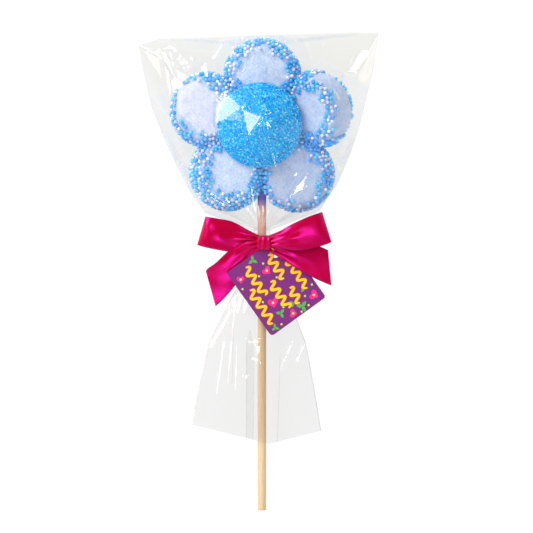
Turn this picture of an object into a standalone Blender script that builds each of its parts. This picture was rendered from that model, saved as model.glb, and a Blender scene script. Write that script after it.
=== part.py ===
"""Marshmallow lollipop: a flower of five beaded marshmallow petals round a sugared dome, on a dowel.

It lies on its back with the flower's face up (+Z) and the stick towards -Y. The origin is the flower's
centre, on the plane that it lies on. The flower is shut in a clear film bag, gathered round the stick
and tied with a ribbon bow, with a card tag on a thin cord.
"""
import math
import random

import bmesh
import bpy
from mathutils import Matrix, Vector

MM = 0.001

# Marshmallow petals: thick round pucks, pressed flat against each other
PUCK_THICK = 18.0 * MM
PUCK_ROUND = 5.5 * MM          # rounding of both rims
PUCK_SIDES = 28
PETAL_BACK = 0.8 * MM          # height of the pucks' backs
PETAL_GAP = 0.35 * MM          # half the gap between two petals
SQUASH_SOFT = 1.1 * MM         # how softly a puck gives where it is pressed
PETALS = (                     # name, direction in degrees, distance from the centre, radius, lean
    ("petal_top", 89.0, 25.6 * MM, 18.4 * MM, 0.0),
    ("petal_upper_right", 19.7, 27.9 * MM, 18.6 * MM, 35.0),
    ("petal_lower_right", -52.2, 28.7 * MM, 17.7 * MM, 0.0),
    ("petal_lower_left", -127.8, 27.3 * MM, 18.1 * MM, 0.0),
    ("petal_upper_left", 160.6, 28.3 * MM, 17.8 * MM, 0.0),
)
LEAN_RAISE = 2.4 * MM          # how far a leaning petal's middle is lifted

# Sugar beads on the petals' rims and sides
BEAD_R = 1.0 * MM
BEAD_SUNK = 0.5 * MM           # how deep a bead sits in the marshmallow
BEAD_ROWS = (27.0, 62.0, 100.0)    # places round the rim's rounding, in degrees from the face
BEADS_PER_ROW = 10
BEAD_ARC = 224.0               # how far round the petal the beads lie, in degrees
BEAD_SEED = 7

# Sugared dome in the middle
DOME_CENTRE = Vector((-0.75 * MM, 1.65 * MM, 19.1 * MM))
DOME_R = 21.3 * MM
DOME_HIGH = 14.0 * MM
DOME_PEAK_SHIFT = Vector((3.0 * MM, 3.2 * MM, 0.0))
DOME_SIDES = 30
DOME_PROFILE = (               # radius and height in millimetres
    (20.3, 0.0), (21.3, 1.6), (20.5, 3.9), (17.0, 7.0), (11.0, 10.6), (5.0, 13.2), (1.6, 14.0))

# Wooden dowel
STICK_R = 2.15 * MM
STICK_X = 0.2 * MM
STICK_Z = 9.5 * MM
STICK_TOP = 5.0 * MM
STICK_END = -191.0 * MM
STICK_BEVEL = 0.35 * MM
STICK_SIDES = 16
GROOVE_CLEAR = 0.4 * MM        # room round the stick in the petals
GROOVE_Y = -34.0 * MM
GROOVE_LONG = 60.0 * MM

# Film bag
FILM = 0.3 * MM                # wall
FILM_CLEAR = 0.75 * MM         # from the contents to the film's outer side
SEAL_Z = 9.5 * MM
EDGE_Z = 7.0 * MM
BAG_TOP = ((-61.7, 42.0), (-51.2, 45.3), (46.2, 48.6), (58.8, 48.2))
BAG_LEFT = ((-58.8, 25.4), (-55.0, 9.4), (-49.2, -5.1), (-42.8, -18.6), (-36.2, -31.0), (-28.2, -42.2))
BAG_RIGHT = ((55.9, 28.9), (52.7, 15.0), (49.4, 2.0), (45.2, -11.1), (38.8, -26.1), (28.8, -41.4))
NECK_R = 4.2 * MM
NECK_TOP = -50.8 * MM
NECK_BOTTOM = -61.2 * MM
MOUTH_LOW = -157.7 * MM        # lowest point of the mouth
MOUTH_LOW_X = 3.8 * MM
MOUTH_RISE = 0.25              # rise of the mouth's edge towards its corners
MOUTH_TOLERANCE = 0.05 * MM
SKIRT_LEFT = -35.6 * MM
SKIRT_RIGHT = 29.8 * MM
SKIRT_THICK = 3.4 * MM         # half the depth of the skirt over the stick
SKIRT_SPREAD = ((0.0, 0.0), (0.2, 0.28), (0.35, 0.5), (0.5, 0.7), (0.75, 0.86), (1.0, 1.0))
PLEATS = 7
PLEAT_DEEP = 1.6 * MM
SKIRT_ROWS = 10
SKIRT_SIDES = 44

# Satin ribbon bow
RIBBON = 0.45 * MM
BOW_LIMBS = {                  # the ribbon's loops and tails, as ribbon() takes them, and their rows
    "loop_left": ((
        (1.0, -56.8, 15.9, 2.6, 95, 0, 0.2), (-6.0, -55.0, 15.6, 4.3, 95, 0, 1.2),
        (-14.0, -54.0, 17.2, 7.5, 93, 0, 2.2), (-22.0, -52.7, 18.8, 7.7, 86, 0, 2.2),
        (-28.0, -51.5, 18.4, 7.5, 77, 0, 1.6), (-30.0, -51.0, 16.0, 7.3, 74, 0, 0),
        (-27.6, -51.6, 13.6, 7.3, 77, 0, -0.8), (-20.0, -53.2, 13.0, 7.0, 88, 0, -0.6),
        (-10.0, -55.2, 13.4, 4.5, 95, 0, 0), (1.0, -56.8, 14.6, 2.6, 95, 0, 0)), 18),
    "loop_right": ((
        (1.6, -56.8, 17.4, 2.6, 88, 0, 0.2), (8.6, -55.3, 19.0, 3.9, 88, 0, 1.4),
        (15.0, -54.3, 20.6, 6.4, 90, 0, 2.4), (23.0, -52.3, 22.0, 7.9, 95, 0, 2.4),
        (29.8, -50.2, 21.6, 8.0, 104, 0, 1.6), (32.5, -49.2, 19.4, 7.9, 107, 0, 0),
        (29.8, -50.2, 17.4, 7.9, 104, 0, 0), (22.0, -52.6, 17.6, 7.6, 95, 0, 0),
        (12.0, -55.0, 18.0, 5.2, 90, 0, 0), (1.6, -56.8, 16.6, 2.6, 88, 0, 0)), 18),
    "tail_left": ((
        (0.5, -57.4, 17.8, 2.4, 120, 0.3, 0.2), (-5.6, -59.6, 17.3, 3.9, 122, 1.7, 0.4),
        (-11.2, -65.0, 16.2, 6.4, 136, 1.5, 0.4), (-18.0, -72.4, 15.8, 7.4, 140, 0.4, 0.4),
        (-25.4, -80.0, 15.4, 9.1, 105.4, 0, 0)), 10),
    "tail_right": ((
        (2.0, -57.8, 17.6, 2.4, 60, 0, 0.2), (8.4, -59.4, 16.8, 4.0, 62, 0, 0.4),
        (17.4, -62.0, 15.8, 6.6, 66, 0, 0.4), (26.0, -66.0, 15.4, 7.9, 80, 0, 0.4),
        (34.1, -69.5, 15.2, 8.9, 95.5, 0, 0)), 10),
}
KNOT_CENTRE = Vector((1.4 * MM, -57.0 * MM, 16.9 * MM))
KNOT_SIZE = Vector((8.4 * MM, 7.6 * MM, 7.0 * MM))
KNOT_PLEATS = 4
KNOT_PLEAT_DEEP = 0.35 * MM
BAND_WIDE = 6.6 * MM
BAND_CLEAR = 0.4 * MM          # from the neck to the band
BAND_SIDES = 20
NECK_ROOM_LONG = 30.0 * MM

# Card tag
TAG_WIDE = 34.0 * MM
TAG_LONG = 38.8 * MM
TAG_THICK = 0.5 * MM
TAG_CENTRE = Vector((7.4 * MM, -78.1 * MM, 16.2 * MM))
TAG_TURN = 35.2
TAG_LEAN = 4.2                 # about X: its top end is tucked in behind the knot
TAG_ROLL = 8.7                 # about Y: its left side lies on a ribbon tail
TAG_CORNER = 1.6 * MM
TAG_HOLE_R = 2.6 * MM
TAG_HOLE = (9.0 * MM, 13.5 * MM)

# Thin cord that carries the tag
CORD_R = 0.45 * MM
CORD_Y = -52.1 * MM
CORD_CLEAR = 0.35 * MM
CORD_RUN = (                   # from the neck's right side, up through the hole and back under the knot
    (6.1, -53.6, 10.6), (6.6, -57.4, 12.0), (7.0, -60.6, 13.3), (7.2, -62.0, 14.8), (7.0, -62.1, 16.3),
    (6.1, -60.9, 17.0), (4.8, -59.0, 16.9), (3.5, -57.0, 16.2), (2.5, -55.2, 15.5), (1.9, -53.5, 15.1))


def new_collection(name):
    """A collection linked to the scene."""
    collection = bpy.data.collections.new(name)
    bpy.context.scene.collection.children.link(collection)
    return collection


def material(name, hex_colour, roughness, metallic=0.0, alpha=1.0):
    """A Principled material from an sRGB colour."""
    channels = [int(hex_colour[i:i + 2], 16) / 255 for i in (1, 3, 5)]
    linear = [c / 12.92 if c <= 0.04045 else ((c + 0.055) / 1.055) ** 2.4 for c in channels]
    result = bpy.data.materials.new(name)
    result.use_nodes = True
    shader = result.node_tree.nodes["Principled BSDF"]
    shader.inputs["Base Color"].default_value = (*linear, 1.0)
    shader.inputs["Roughness"].default_value = roughness
    shader.inputs["Metallic"].default_value = metallic
    shader.inputs["Alpha"].default_value = alpha
    result.diffuse_color = (*linear, alpha)
    return result


def mesh_object(name, verts, faces, collection, skin=None):
    """An object from vertices and faces, with its faces turned outwards."""
    bm = bmesh.new()
    made = [bm.verts.new(v) for v in verts]
    for face in faces:
        bm.faces.new([made[i] for i in face])
    bmesh.ops.recalc_face_normals(bm, faces=bm.faces)
    mesh = bpy.data.meshes.new(name)
    bm.to_mesh(mesh)
    bm.free()
    obj = bpy.data.objects.new(name, mesh)
    collection.objects.link(obj)
    if skin:
        mesh.materials.append(skin)
    return obj


def bake(obj):
    """Apply every modifier of an object."""
    bpy.context.view_layer.update()
    evaluated = obj.evaluated_get(bpy.context.evaluated_depsgraph_get())
    mesh = bpy.data.meshes.new_from_object(evaluated)
    obj.modifiers.clear()
    obj.data = mesh
    return obj


def smooth(obj, degrees=35.0):
    """Shade smooth, with sharp edges past an angle."""
    obj.data.shade_smooth()
    obj.data.set_sharp_from_angle(angle=math.radians(degrees))


def remove(objects):
    """Delete helper objects."""
    for obj in list(objects):
        bpy.data.objects.remove(obj, do_unlink=True)


def boolean(obj, other, operation, solver="EXACT"):
    """Join, cut or cross an object with another object or a collection, and apply it."""
    modifier = obj.modifiers.new("Boolean", "BOOLEAN")
    modifier.operation = operation
    modifier.solver = solver
    if isinstance(other, bpy.types.Collection):
        modifier.operand_type = "COLLECTION"
        modifier.collection = other
    else:
        modifier.object = other
    return bake(obj)


def loft(rings, close_ends=True):
    """Vertices and faces of a skin over rings with the same number of points."""
    count = len(rings[0])
    verts = [point for ring in rings for point in ring]
    faces = []
    for row in range(len(rings) - 1):
        for i in range(count):
            j = (i + 1) % count
            faces.append((row * count + i, row * count + j, (row + 1) * count + j, (row + 1) * count + i))
    if close_ends:
        faces.append(tuple(range(count)))
        faces.append(tuple(range(len(verts) - count, len(verts))))
    return verts, faces


def spline(stations, rows):
    """Points on a smooth curve through stations, which are tuples of numbers."""
    padded = [stations[0]] + list(stations) + [stations[-1]]
    spans = len(stations) - 1
    result = []
    for row in range(rows):
        place = row / (rows - 1) * spans
        k = min(int(place), spans - 1)
        t = place - k
        before, start, end, after = padded[k:k + 4]
        result.append(tuple(
            0.5 * (2 * b + (c - a) * t + (2 * a - 5 * b + 4 * c - d) * t * t
                   + (3 * b - a - 3 * c + d) * t ** 3)
            for a, b, c, d in zip(before, start, end, after)))
    return result


def direction(degrees):
    """Unit vector in the plane, at an angle from +X."""
    return Vector((math.cos(math.radians(degrees)), math.sin(math.radians(degrees)), 0.0))


def give(distance, limit):
    """A distance pressed softly so that it never falls below a limit."""
    return limit + SQUASH_SOFT * math.log1p(math.exp((distance - limit) / SQUASH_SOFT))


def valleys(index):
    """Directions that face away from a petal's two neighbours."""
    heading = PETALS[index][1]
    facings = []
    for step in (-1, 1):
        other = PETALS[(index + step) % len(PETALS)][1]
        between = heading + ((other - heading + 180.0) % 360.0 - 180.0) / 2
        facing = direction(between + 90.0)
        facings.append(facing if facing.dot(direction(heading)) > 0 else -facing)
    return facings


def puck_place(index, around, inset, height):
    """A point of a petal: its puck's own place, leaned, moved out and pressed by its neighbours.

    around is an angle, inset is measured in from the puck's outline and height from its middle.
    """
    _, heading, distance, radius, lean = PETALS[index]
    outward = direction(heading)
    sideways = direction(heading + 90.0)
    tilt = math.radians(lean)
    along = (radius - inset) * math.cos(around)
    across = (radius - inset) * math.sin(around)
    radial = along * math.cos(tilt) - height * math.sin(tilt)
    rise = along * math.sin(tilt) + height * math.cos(tilt)
    middle = PETAL_BACK + PUCK_THICK / 2 + (LEAN_RAISE if lean else 0.0)
    point = outward * (distance + radial) + sideways * across + Vector((0.0, 0.0, middle + rise))
    for facing in valleys(index):
        gap = point.dot(facing)
        point += facing * (give(gap, PETAL_GAP) - gap)
    if lean:
        point.z = give(point.z, PETAL_BACK)
    return point


def puck_rings():
    """Insets and heights of a puck's rings, from its back to its face."""
    half = PUCK_THICK / 2
    rings = []
    for side in (-1, 1):
        for degrees in (0.0, 30.0, 60.0, 90.0):
            turn = math.radians(degrees if side < 0 else 90.0 - degrees)
            inset = PUCK_ROUND * (1 - math.sin(turn))
            height = side * (half - PUCK_ROUND + PUCK_ROUND * math.cos(turn))
            rings.append((inset, height))
    return rings


def make_petal(index, collection, skin):
    """A petal: a pressed puck with sugar beads fused along its rim."""
    name = PETALS[index][0]
    rings = []
    for inset, height in puck_rings():
        ring = [puck_place(index, math.tau * i / PUCK_SIDES, inset, height) for i in range(PUCK_SIDES)]
        rings.append(ring)
    petal = mesh_object(name, *loft(rings), collection, skin)
    rng = random.Random(BEAD_SEED + index)
    beads = new_collection(name + "_beads")
    for row, degrees in enumerate(BEAD_ROWS):
        turn = math.radians(degrees)
        out = PUCK_ROUND + BEAD_R - BEAD_SUNK
        inset = PUCK_ROUND - out * math.sin(turn)
        height = PUCK_THICK / 2 - PUCK_ROUND + out * math.cos(turn)
        for i in range(BEADS_PER_ROW):
            around = math.radians(BEAD_ARC * ((i + 0.5 * (row % 2) + 0.25) / BEADS_PER_ROW - 0.5))
            around += rng.uniform(-0.04, 0.04)
            point = puck_place(index, around, inset, height)
            flat_out = Vector((point.x, point.y, 0.0))
            if flat_out.length < DOME_R + 4 * BEAD_R:
                continue
            if min(point.dot(facing) for facing in valleys(index)) < PETAL_GAP + BEAD_R + 0.1 * MM:
                continue
            bpy.ops.mesh.primitive_ico_sphere_add(subdivisions=1, radius=BEAD_R, location=point)
            bead = bpy.context.object
            bead.rotation_euler = (rng.uniform(0, 3), rng.uniform(0, 3), rng.uniform(0, 3))
            move_to(bead, beads)
    boolean(petal, beads, "UNION")
    remove(beads.objects)
    bpy.data.collections.remove(beads)
    return petal


def move_to(obj, collection):
    """Put an object in one collection only."""
    for user in list(obj.users_collection):
        user.objects.unlink(obj)
    collection.objects.link(obj)


def make_dome(collection, skin):
    """The sugared middle: a low rounded cone whose peak sits off its centre."""
    rings = []
    for radius, height in DOME_PROFILE:
        centre = DOME_CENTRE + DOME_PEAK_SHIFT * (height * MM / DOME_HIGH)
        rings.append([
            centre + Vector((0, 0, height * MM)) + direction(360.0 * i / DOME_SIDES) * (radius * MM)
            for i in range(DOME_SIDES)])
    dome = mesh_object("dome", *loft(rings), collection, skin)
    smooth(dome, 60.0)
    return dome


def make_stick(collection, skin):
    """The dowel, with its end edges eased."""
    bpy.ops.mesh.primitive_cylinder_add(
        vertices=STICK_SIDES, radius=STICK_R, depth=STICK_TOP - STICK_END,
        location=(STICK_X, (STICK_TOP + STICK_END) / 2, STICK_Z), rotation=(math.pi / 2, 0, 0))
    stick = bpy.context.object
    stick.name = "stick"
    stick.data.materials.append(skin)
    bevel = stick.modifiers.new("Bevel", "BEVEL")
    bevel.width = STICK_BEVEL
    bevel.segments = 1
    bevel.limit_method = "ANGLE"
    bevel.angle_limit = math.radians(60)
    move_to(stick, collection)
    smooth(stick)
    return stick


def cut_stick_groove(petals, cutters):
    """Clear a channel for the dowel through the two lower petals."""
    bpy.ops.mesh.primitive_cylinder_add(
        vertices=STICK_SIDES, radius=STICK_R + GROOVE_CLEAR, depth=GROOVE_LONG,
        location=(STICK_X, GROOVE_Y, STICK_Z), rotation=(math.pi / 2, 0, 0))
    cutter = bpy.context.object
    cutter.name = "stick_groove"
    cutter.display_type = "WIRE"
    cutter.hide_render = True
    move_to(cutter, cutters)
    for petal in petals:
        boolean(petal, cutter, "DIFFERENCE")


def film_points(contents):
    """Places that the taut film must reach round the flower."""
    points = []
    for obj in contents:
        for vertex in obj.data.vertices:
            points.append(vertex.co + vertex.normal * FILM_CLEAR)
    for _, heading, distance, radius, _ in PETALS:
        for i in range(12):
            spot = direction(heading) * distance + direction(30.0 * i) * (radius - PUCK_ROUND + 1.0 * MM)
            points.append(Vector((spot.x, spot.y, 0.0)))
    for x, y in BAG_TOP:
        points.append(Vector((x * MM, y * MM, SEAL_Z)))
    for x, y in BAG_LEFT + BAG_RIGHT:
        points.append(Vector((x * MM, y * MM, EDGE_Z)))
    for i in range(16):
        turn = direction(22.5 * i)
        points.append(Vector((STICK_X + turn.x * NECK_R, NECK_TOP, STICK_Z + turn.y * NECK_R)))
    return points


def make_head(contents, collection):
    """The bag's taut head, drawn over the flower from the seal to the neck."""
    bm = bmesh.new()
    for point in film_points(contents):
        bm.verts.new((point.x, point.y, max(point.z, 0.0)))
    hull = bmesh.ops.convex_hull(bm, input=bm.verts)
    inside = {v for key in ("geom_interior", "geom_unused") for v in hull[key]
              if isinstance(v, bmesh.types.BMVert)}
    bmesh.ops.delete(bm, geom=list(inside), context="VERTS")
    bmesh.ops.remove_doubles(bm, verts=bm.verts, dist=0.25 * MM)
    bmesh.ops.dissolve_limit(bm, angle_limit=math.radians(1.5), verts=bm.verts, edges=bm.edges)
    bmesh.ops.recalc_face_normals(bm, faces=bm.faces)
    mesh = bpy.data.meshes.new("film_bag")
    bm.to_mesh(mesh)
    bm.free()
    head = bpy.data.objects.new("film_bag", mesh)
    collection.objects.link(head)
    return head


def neck_ring(y):
    """A round ring of the gathered neck."""
    ring = []
    for i in range(SKIRT_SIDES):
        turn = direction(360.0 * i / SKIRT_SIDES) * NECK_R
        ring.append(Vector((STICK_X + turn.x, y, STICK_Z + turn.y)))
    return ring


def skirt_spread(flare):
    """How far the skirt has fanned out, from the stations of its outline."""
    for (low, from_spread), (high, to_spread) in zip(SKIRT_SPREAD, SKIRT_SPREAD[1:]):
        if flare <= high:
            return from_spread + (to_spread - from_spread) * (flare - low) / (high - low)
    return 1.0


def mouth_y(x):
    """Where the skirt's mouth ends, at a place across it."""
    return MOUTH_LOW + MOUTH_RISE * abs(x - MOUTH_LOW_X)


def skirt_ring(flare):
    """One ring of the fanned skirt; flare runs from 0 at the neck to 1 at the mouth."""
    spread = skirt_spread(flare)
    ring = []
    for i in range(SKIRT_SIDES):
        turn = math.tau * i / SKIRT_SIDES
        wide = math.cos(turn)
        reach = -SKIRT_LEFT if wide < 0 else SKIRT_RIGHT
        x = wide * (NECK_R + (reach - NECK_R) * spread) + STICK_X
        y = NECK_BOTTOM + (mouth_y(x) - NECK_BOTTOM) * flare
        depth = NECK_R + (SKIRT_THICK - NECK_R) * min(1.0, 3 * flare)
        beside = min(1.0, abs(x - STICK_X) / (3 * STICK_R)) ** 2
        wave = PLEAT_DEEP * spread * beside * math.cos(math.pi * PLEATS * wide + 0.6)
        ring.append(Vector((x, y, STICK_Z + depth * math.sin(turn) + wave)))
    return ring


def make_bag(contents, collection, cutters, skin):
    """The film bag: head and skirt joined, opened at the mouth and given its wall."""
    bag = make_head(contents, collection)
    rings = [neck_ring(NECK_TOP + 3 * MM), neck_ring(NECK_BOTTOM)]
    rings += [skirt_ring((row + 1) / SKIRT_ROWS) for row in range(SKIRT_ROWS)]
    skirt = mesh_object("bag_skirt", *loft(rings), cutters)
    boolean(bag, skirt, "UNION")
    remove([skirt])
    bm = bmesh.new()
    bm.from_mesh(bag.data)
    mouth = [face for face in bm.faces
             if all(abs(vertex.co.y - mouth_y(vertex.co.x)) < MOUTH_TOLERANCE for vertex in face.verts)]
    bmesh.ops.delete(bm, geom=mouth, context="FACES")
    bmesh.ops.triangulate(bm, faces=bm.faces)
    bm.to_mesh(bag.data)
    bm.free()
    wall = bag.modifiers.new("Solidify", "SOLIDIFY")
    wall.thickness = FILM
    wall.offset = -1.0
    bake(bag)
    bag.data.materials.clear()
    bag.data.materials.append(skin)
    return bag


def ribbon(name, stations, rows, collection, across=4):
    """A limb of ribbon along stations.

    A station is the x, y and z of the ribbon's middle, half its width, the angle of its width, how
    much one edge rises and how far the middle stands proud of the edges, in millimetres and degrees.
    """
    verts = []
    for x, y, z, half, angle, rise, cup in spline(stations, rows):
        side = direction(angle) * half + Vector((0.0, 0.0, rise))
        for i in range(across):
            share = 2 * i / (across - 1) - 1
            proud = Vector((0.0, 0.0, cup * (1 - share * share)))
            verts.append((Vector((x, y, z)) + side * share + proud) * MM)
    faces = []
    for row in range(rows - 1):
        for i in range(across - 1):
            a = row * across + i
            faces.append((a, a + 1, a + across + 1, a + across))
    limb = mesh_object(name, verts, faces, collection)
    wall = limb.modifiers.new("Solidify", "SOLIDIFY")
    wall.thickness = RIBBON
    wall.offset = 0.0
    return bake(limb)


def make_knot(collection):
    """The knot: a plump rounded block with soft pleats that run along Y."""
    bpy.ops.mesh.primitive_uv_sphere_add(segments=20, ring_count=10, radius=1.0)
    knot = bpy.context.object
    knot.name = "bow"
    for vertex in knot.data.vertices:
        x, z, y = (math.copysign(abs(c) ** 0.7, c) for c in vertex.co)
        plump = 1 + KNOT_PLEAT_DEEP / KNOT_SIZE.z * 2 * math.cos(math.tau * KNOT_PLEATS * 0.5 * x)
        spot = Vector((x * KNOT_SIZE.x, -y * KNOT_SIZE.y, z * KNOT_SIZE.z * plump)) / 2
        vertex.co = KNOT_CENTRE + spot
    move_to(knot, collection)
    return knot


def make_band(collection):
    """The ribbon's turn round the neck, under the knot."""
    inner = NECK_R + BAND_CLEAR
    outer = inner + 1.5 * RIBBON
    rings = []
    for radius, side in ((inner, 0.5), (outer, 0.5), (outer, -0.5), (inner, -0.5)):
        y = KNOT_CENTRE.y + side * BAND_WIDE
        turns = [direction(360.0 * i / BAND_SIDES) * radius for i in range(BAND_SIDES)]
        rings.append([Vector((STICK_X + turn.x, y, STICK_Z + turn.y)) for turn in turns])
    verts, faces = loft(rings, close_ends=False)
    last = 3 * BAND_SIDES
    for i in range(BAND_SIDES):
        j = (i + 1) % BAND_SIDES
        faces.append((last + i, last + j, j, i))
    return mesh_object("band", verts, faces, collection)


def make_bow(collection, cutters, skin):
    """The bow: a band round the neck, a knot, two loops and two slanted tails of one ribbon."""
    bow = make_knot(collection)
    pieces = new_collection("bow_pieces")

    for limb, (stations, rows) in BOW_LIMBS.items():
        ribbon(limb, stations, rows, pieces)
    make_band(pieces)
    boolean(bow, pieces, "UNION", "MANIFOLD")
    remove(pieces.objects)
    bpy.data.collections.remove(pieces)
    neck_room = cylinder_along_y(
        "neck_room", NECK_R + BAND_CLEAR, KNOT_CENTRE.y, NECK_ROOM_LONG, BAND_SIDES)
    move_to(neck_room, cutters)
    cord_room = cord_tube("cord_room", CORD_R + CORD_CLEAR, cutters)
    tag_room = tag_plate("tag_room", CORD_CLEAR, cutters)
    for cutter in (neck_room, cord_room, tag_room):
        cutter.display_type = "WIRE"
        cutter.hide_render = True
        boolean(bow, cutter, "DIFFERENCE", "MANIFOLD")
    keep_largest(bow)
    bow.data.materials.clear()
    bow.data.materials.append(skin)
    smooth(bow)
    return bow


def cylinder_along_y(name, radius, y, depth, sides):
    """A cylinder round the stick's axis."""
    bpy.ops.mesh.primitive_cylinder_add(
        vertices=sides, radius=radius, depth=depth, location=(STICK_X, y, STICK_Z),
        rotation=(math.pi / 2, 0, 0))
    obj = bpy.context.object
    obj.name = name
    return obj


def keep_largest(obj):
    """Drop loose scraps that a cut has left."""
    bm = bmesh.new()
    bm.from_mesh(obj.data)
    left = set(bm.verts)
    bodies = []
    while left:
        body = {left.pop()}
        edge = list(body)
        while edge:
            vertex = edge.pop()
            for link in vertex.link_edges:
                other = link.other_vert(vertex)
                if other not in body:
                    body.add(other)
                    edge.append(other)
        left -= body
        bodies.append(body)
    bodies.sort(key=len)
    for body in bodies[:-1]:
        bmesh.ops.delete(bm, geom=list(body), context="VERTS")
    bm.to_mesh(obj.data)
    bm.free()


def curve_mesh(name, curve, collection):
    """A mesh object made from a curve, with its caps welded."""
    guide = bpy.data.objects.new(name + "_guide", curve)
    collection.objects.link(guide)
    bpy.context.view_layer.update()
    mesh = bpy.data.meshes.new_from_object(guide.evaluated_get(bpy.context.evaluated_depsgraph_get()))
    bpy.data.objects.remove(guide, do_unlink=True)
    bm = bmesh.new()
    bm.from_mesh(mesh)
    bmesh.ops.remove_doubles(bm, verts=bm.verts, dist=0.01 * MM)
    bmesh.ops.recalc_face_normals(bm, faces=bm.faces)
    bm.to_mesh(mesh)
    bm.free()
    mesh.name = name
    obj = bpy.data.objects.new(name, mesh)
    collection.objects.link(obj)
    return obj


def tag_plate(name, spare, collection):
    """The card tag's plate in place, grown by a spare amount; only the tag itself has its hole."""
    curve = bpy.data.curves.new(name, "CURVE")
    curve.dimensions = "2D"
    curve.fill_mode = "BOTH"
    curve.extrude = TAG_THICK / 2 + spare
    outline = []
    for quarter in range(4):
        corner_x = (TAG_WIDE / 2 - TAG_CORNER) * (1 if quarter in (0, 3) else -1)
        corner_y = (TAG_LONG / 2 - TAG_CORNER) * (1 if quarter in (0, 1) else -1)
        for step in range(4):
            turn = direction(90.0 * quarter + 30.0 * step) * (TAG_CORNER + spare)
            outline.append((corner_x + turn.x, corner_y + turn.y))
    edges = [outline]
    if not spare:
        turns = [direction(22.5 * i) * TAG_HOLE_R for i in range(16)]
        edges.append([(TAG_HOLE[0] + turn.x, TAG_HOLE[1] + turn.y) for turn in turns])
    for points in edges:
        edge = curve.splines.new("POLY")
        edge.points.add(len(points) - 1)
        for point, (x, y) in zip(edge.points, points):
            point.co = (x, y, 0.0, 1.0)
        edge.use_cyclic_u = True
    plate = curve_mesh(name, curve, collection)
    plate.matrix_world = (
        Matrix.Translation(TAG_CENTRE)
        @ Matrix.Rotation(math.radians(TAG_ROLL), 4, "Y")
        @ Matrix.Rotation(math.radians(-TAG_LEAN), 4, "X")
        @ Matrix.Rotation(math.radians(TAG_TURN), 4, "Z"))
    return plate


def cord_tube(name, radius, collection):
    """The cord's tube: once round the neck above the knot, then through the tag's hole and back."""
    ring_r = NECK_R + CORD_R + CORD_CLEAR
    stations = []
    for i in range(11):
        turn = direction(76.0 + 28.0 * i) * ring_r
        stations.append((STICK_X + turn.x, CORD_Y, STICK_Z + turn.y))
    stations += [(x * MM, y * MM, z * MM) for x, y, z in CORD_RUN]
    stations.append(stations[0])
    points = spline(stations, 49)[:-1]
    curve = bpy.data.curves.new(name, "CURVE")
    curve.dimensions = "3D"
    curve.bevel_depth = radius
    curve.bevel_resolution = 1
    route = curve.splines.new("POLY")
    route.points.add(len(points) - 1)
    for point, place in zip(route.points, points):
        point.co = (*place, 1.0)
    route.use_cyclic_u = True
    return curve_mesh(name, curve, collection)


def main():
    """Build every piece of the lollipop."""
    for obj in list(bpy.data.objects):
        bpy.data.objects.remove(obj, do_unlink=True)
    parts = new_collection("marshmallow_lollipop")
    cutters = new_collection("cutters")
    marshmallow = material("marshmallow", "#C5D0F5", 0.75)
    petals = [make_petal(index, parts, marshmallow) for index in range(len(PETALS))]
    dome = make_dome(parts, material("blue_sugar", "#2FA0F2", 0.6))
    make_stick(parts, material("birch_dowel", "#E3BE86", 0.6))
    cut_stick_groove(petals[2:4], cutters)
    for petal in petals:
        smooth(petal, 50.0)
    make_bag(petals + [dome], parts, cutters, material("clear_film", "#EDEFF2", 0.08, alpha=0.25))
    make_bow(parts, cutters, material("satin_ribbon", "#CC0A50", 0.35))
    tag = tag_plate("tag", 0.0, parts)
    tag.data.materials.append(material("purple_card", "#8A2185", 0.5))
    smooth(tag)
    cord = cord_tube("tag_cord", CORD_R, parts)
    cord.data.materials.append(material("gold_cord", "#D9A860", 0.5))
    smooth(cord, 80.0)


main()
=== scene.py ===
import math
import random

import bmesh
import bpy
import numpy as np
from mathutils import Matrix, Vector, geometry, noise


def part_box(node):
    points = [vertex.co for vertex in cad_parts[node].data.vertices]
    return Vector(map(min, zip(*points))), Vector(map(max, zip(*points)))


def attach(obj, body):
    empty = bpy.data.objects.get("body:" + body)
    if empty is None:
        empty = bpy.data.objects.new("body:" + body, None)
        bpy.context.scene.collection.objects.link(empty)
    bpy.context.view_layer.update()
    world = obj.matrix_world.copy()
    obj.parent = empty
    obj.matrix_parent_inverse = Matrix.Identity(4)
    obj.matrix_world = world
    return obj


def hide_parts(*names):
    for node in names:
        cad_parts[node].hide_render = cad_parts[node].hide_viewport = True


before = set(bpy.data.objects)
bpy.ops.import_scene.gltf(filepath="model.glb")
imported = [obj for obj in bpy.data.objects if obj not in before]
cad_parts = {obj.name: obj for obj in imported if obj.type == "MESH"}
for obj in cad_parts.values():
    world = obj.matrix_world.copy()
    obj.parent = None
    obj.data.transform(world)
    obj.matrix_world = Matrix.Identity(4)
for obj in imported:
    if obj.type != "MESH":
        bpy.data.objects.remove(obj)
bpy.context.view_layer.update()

MM = 0.001

# ---------------------------------------------------------------------------------------------
# Camera: the lollipop lies on its back and is seen straight from above, its stick downwards.
# A long lens from over two metres away keeps the flower, the bow and the stick at one scale.
VIEW_WIDTH = 266.5 * MM
VIEW_MIDDLE = (2.5 * MM, -68.85 * MM)
VIEW_PLANE = 14.0 * MM
CAMERA_HIGH = 2400.0 * MM

scene = bpy.context.scene
camera_data = bpy.data.cameras.new("camera")
camera_data.sensor_width = 36.0
camera_data.lens = camera_data.sensor_width * (CAMERA_HIGH - VIEW_PLANE) / VIEW_WIDTH
camera = bpy.data.objects.new("camera", camera_data)
camera.location = (*VIEW_MIDDLE, CAMERA_HIGH)
scene.collection.objects.link(camera)
scene.camera = camera
scene.view_settings.view_transform = "Standard"

# ---------------------------------------------------------------------------------------------
# Studio: a white sheet of acrylic lit softly from all round, a black flag over the upper side, and
# softboxes whose reflections the clear film shows as crisp white patches. None is part of the lollipop.
SHEET_SIDE = 6.0
SHEET_DOWN = -0.3 * MM
FLAG_WAY = Vector((0.13, 0.66, 0.74))     # towards the black flag


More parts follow.
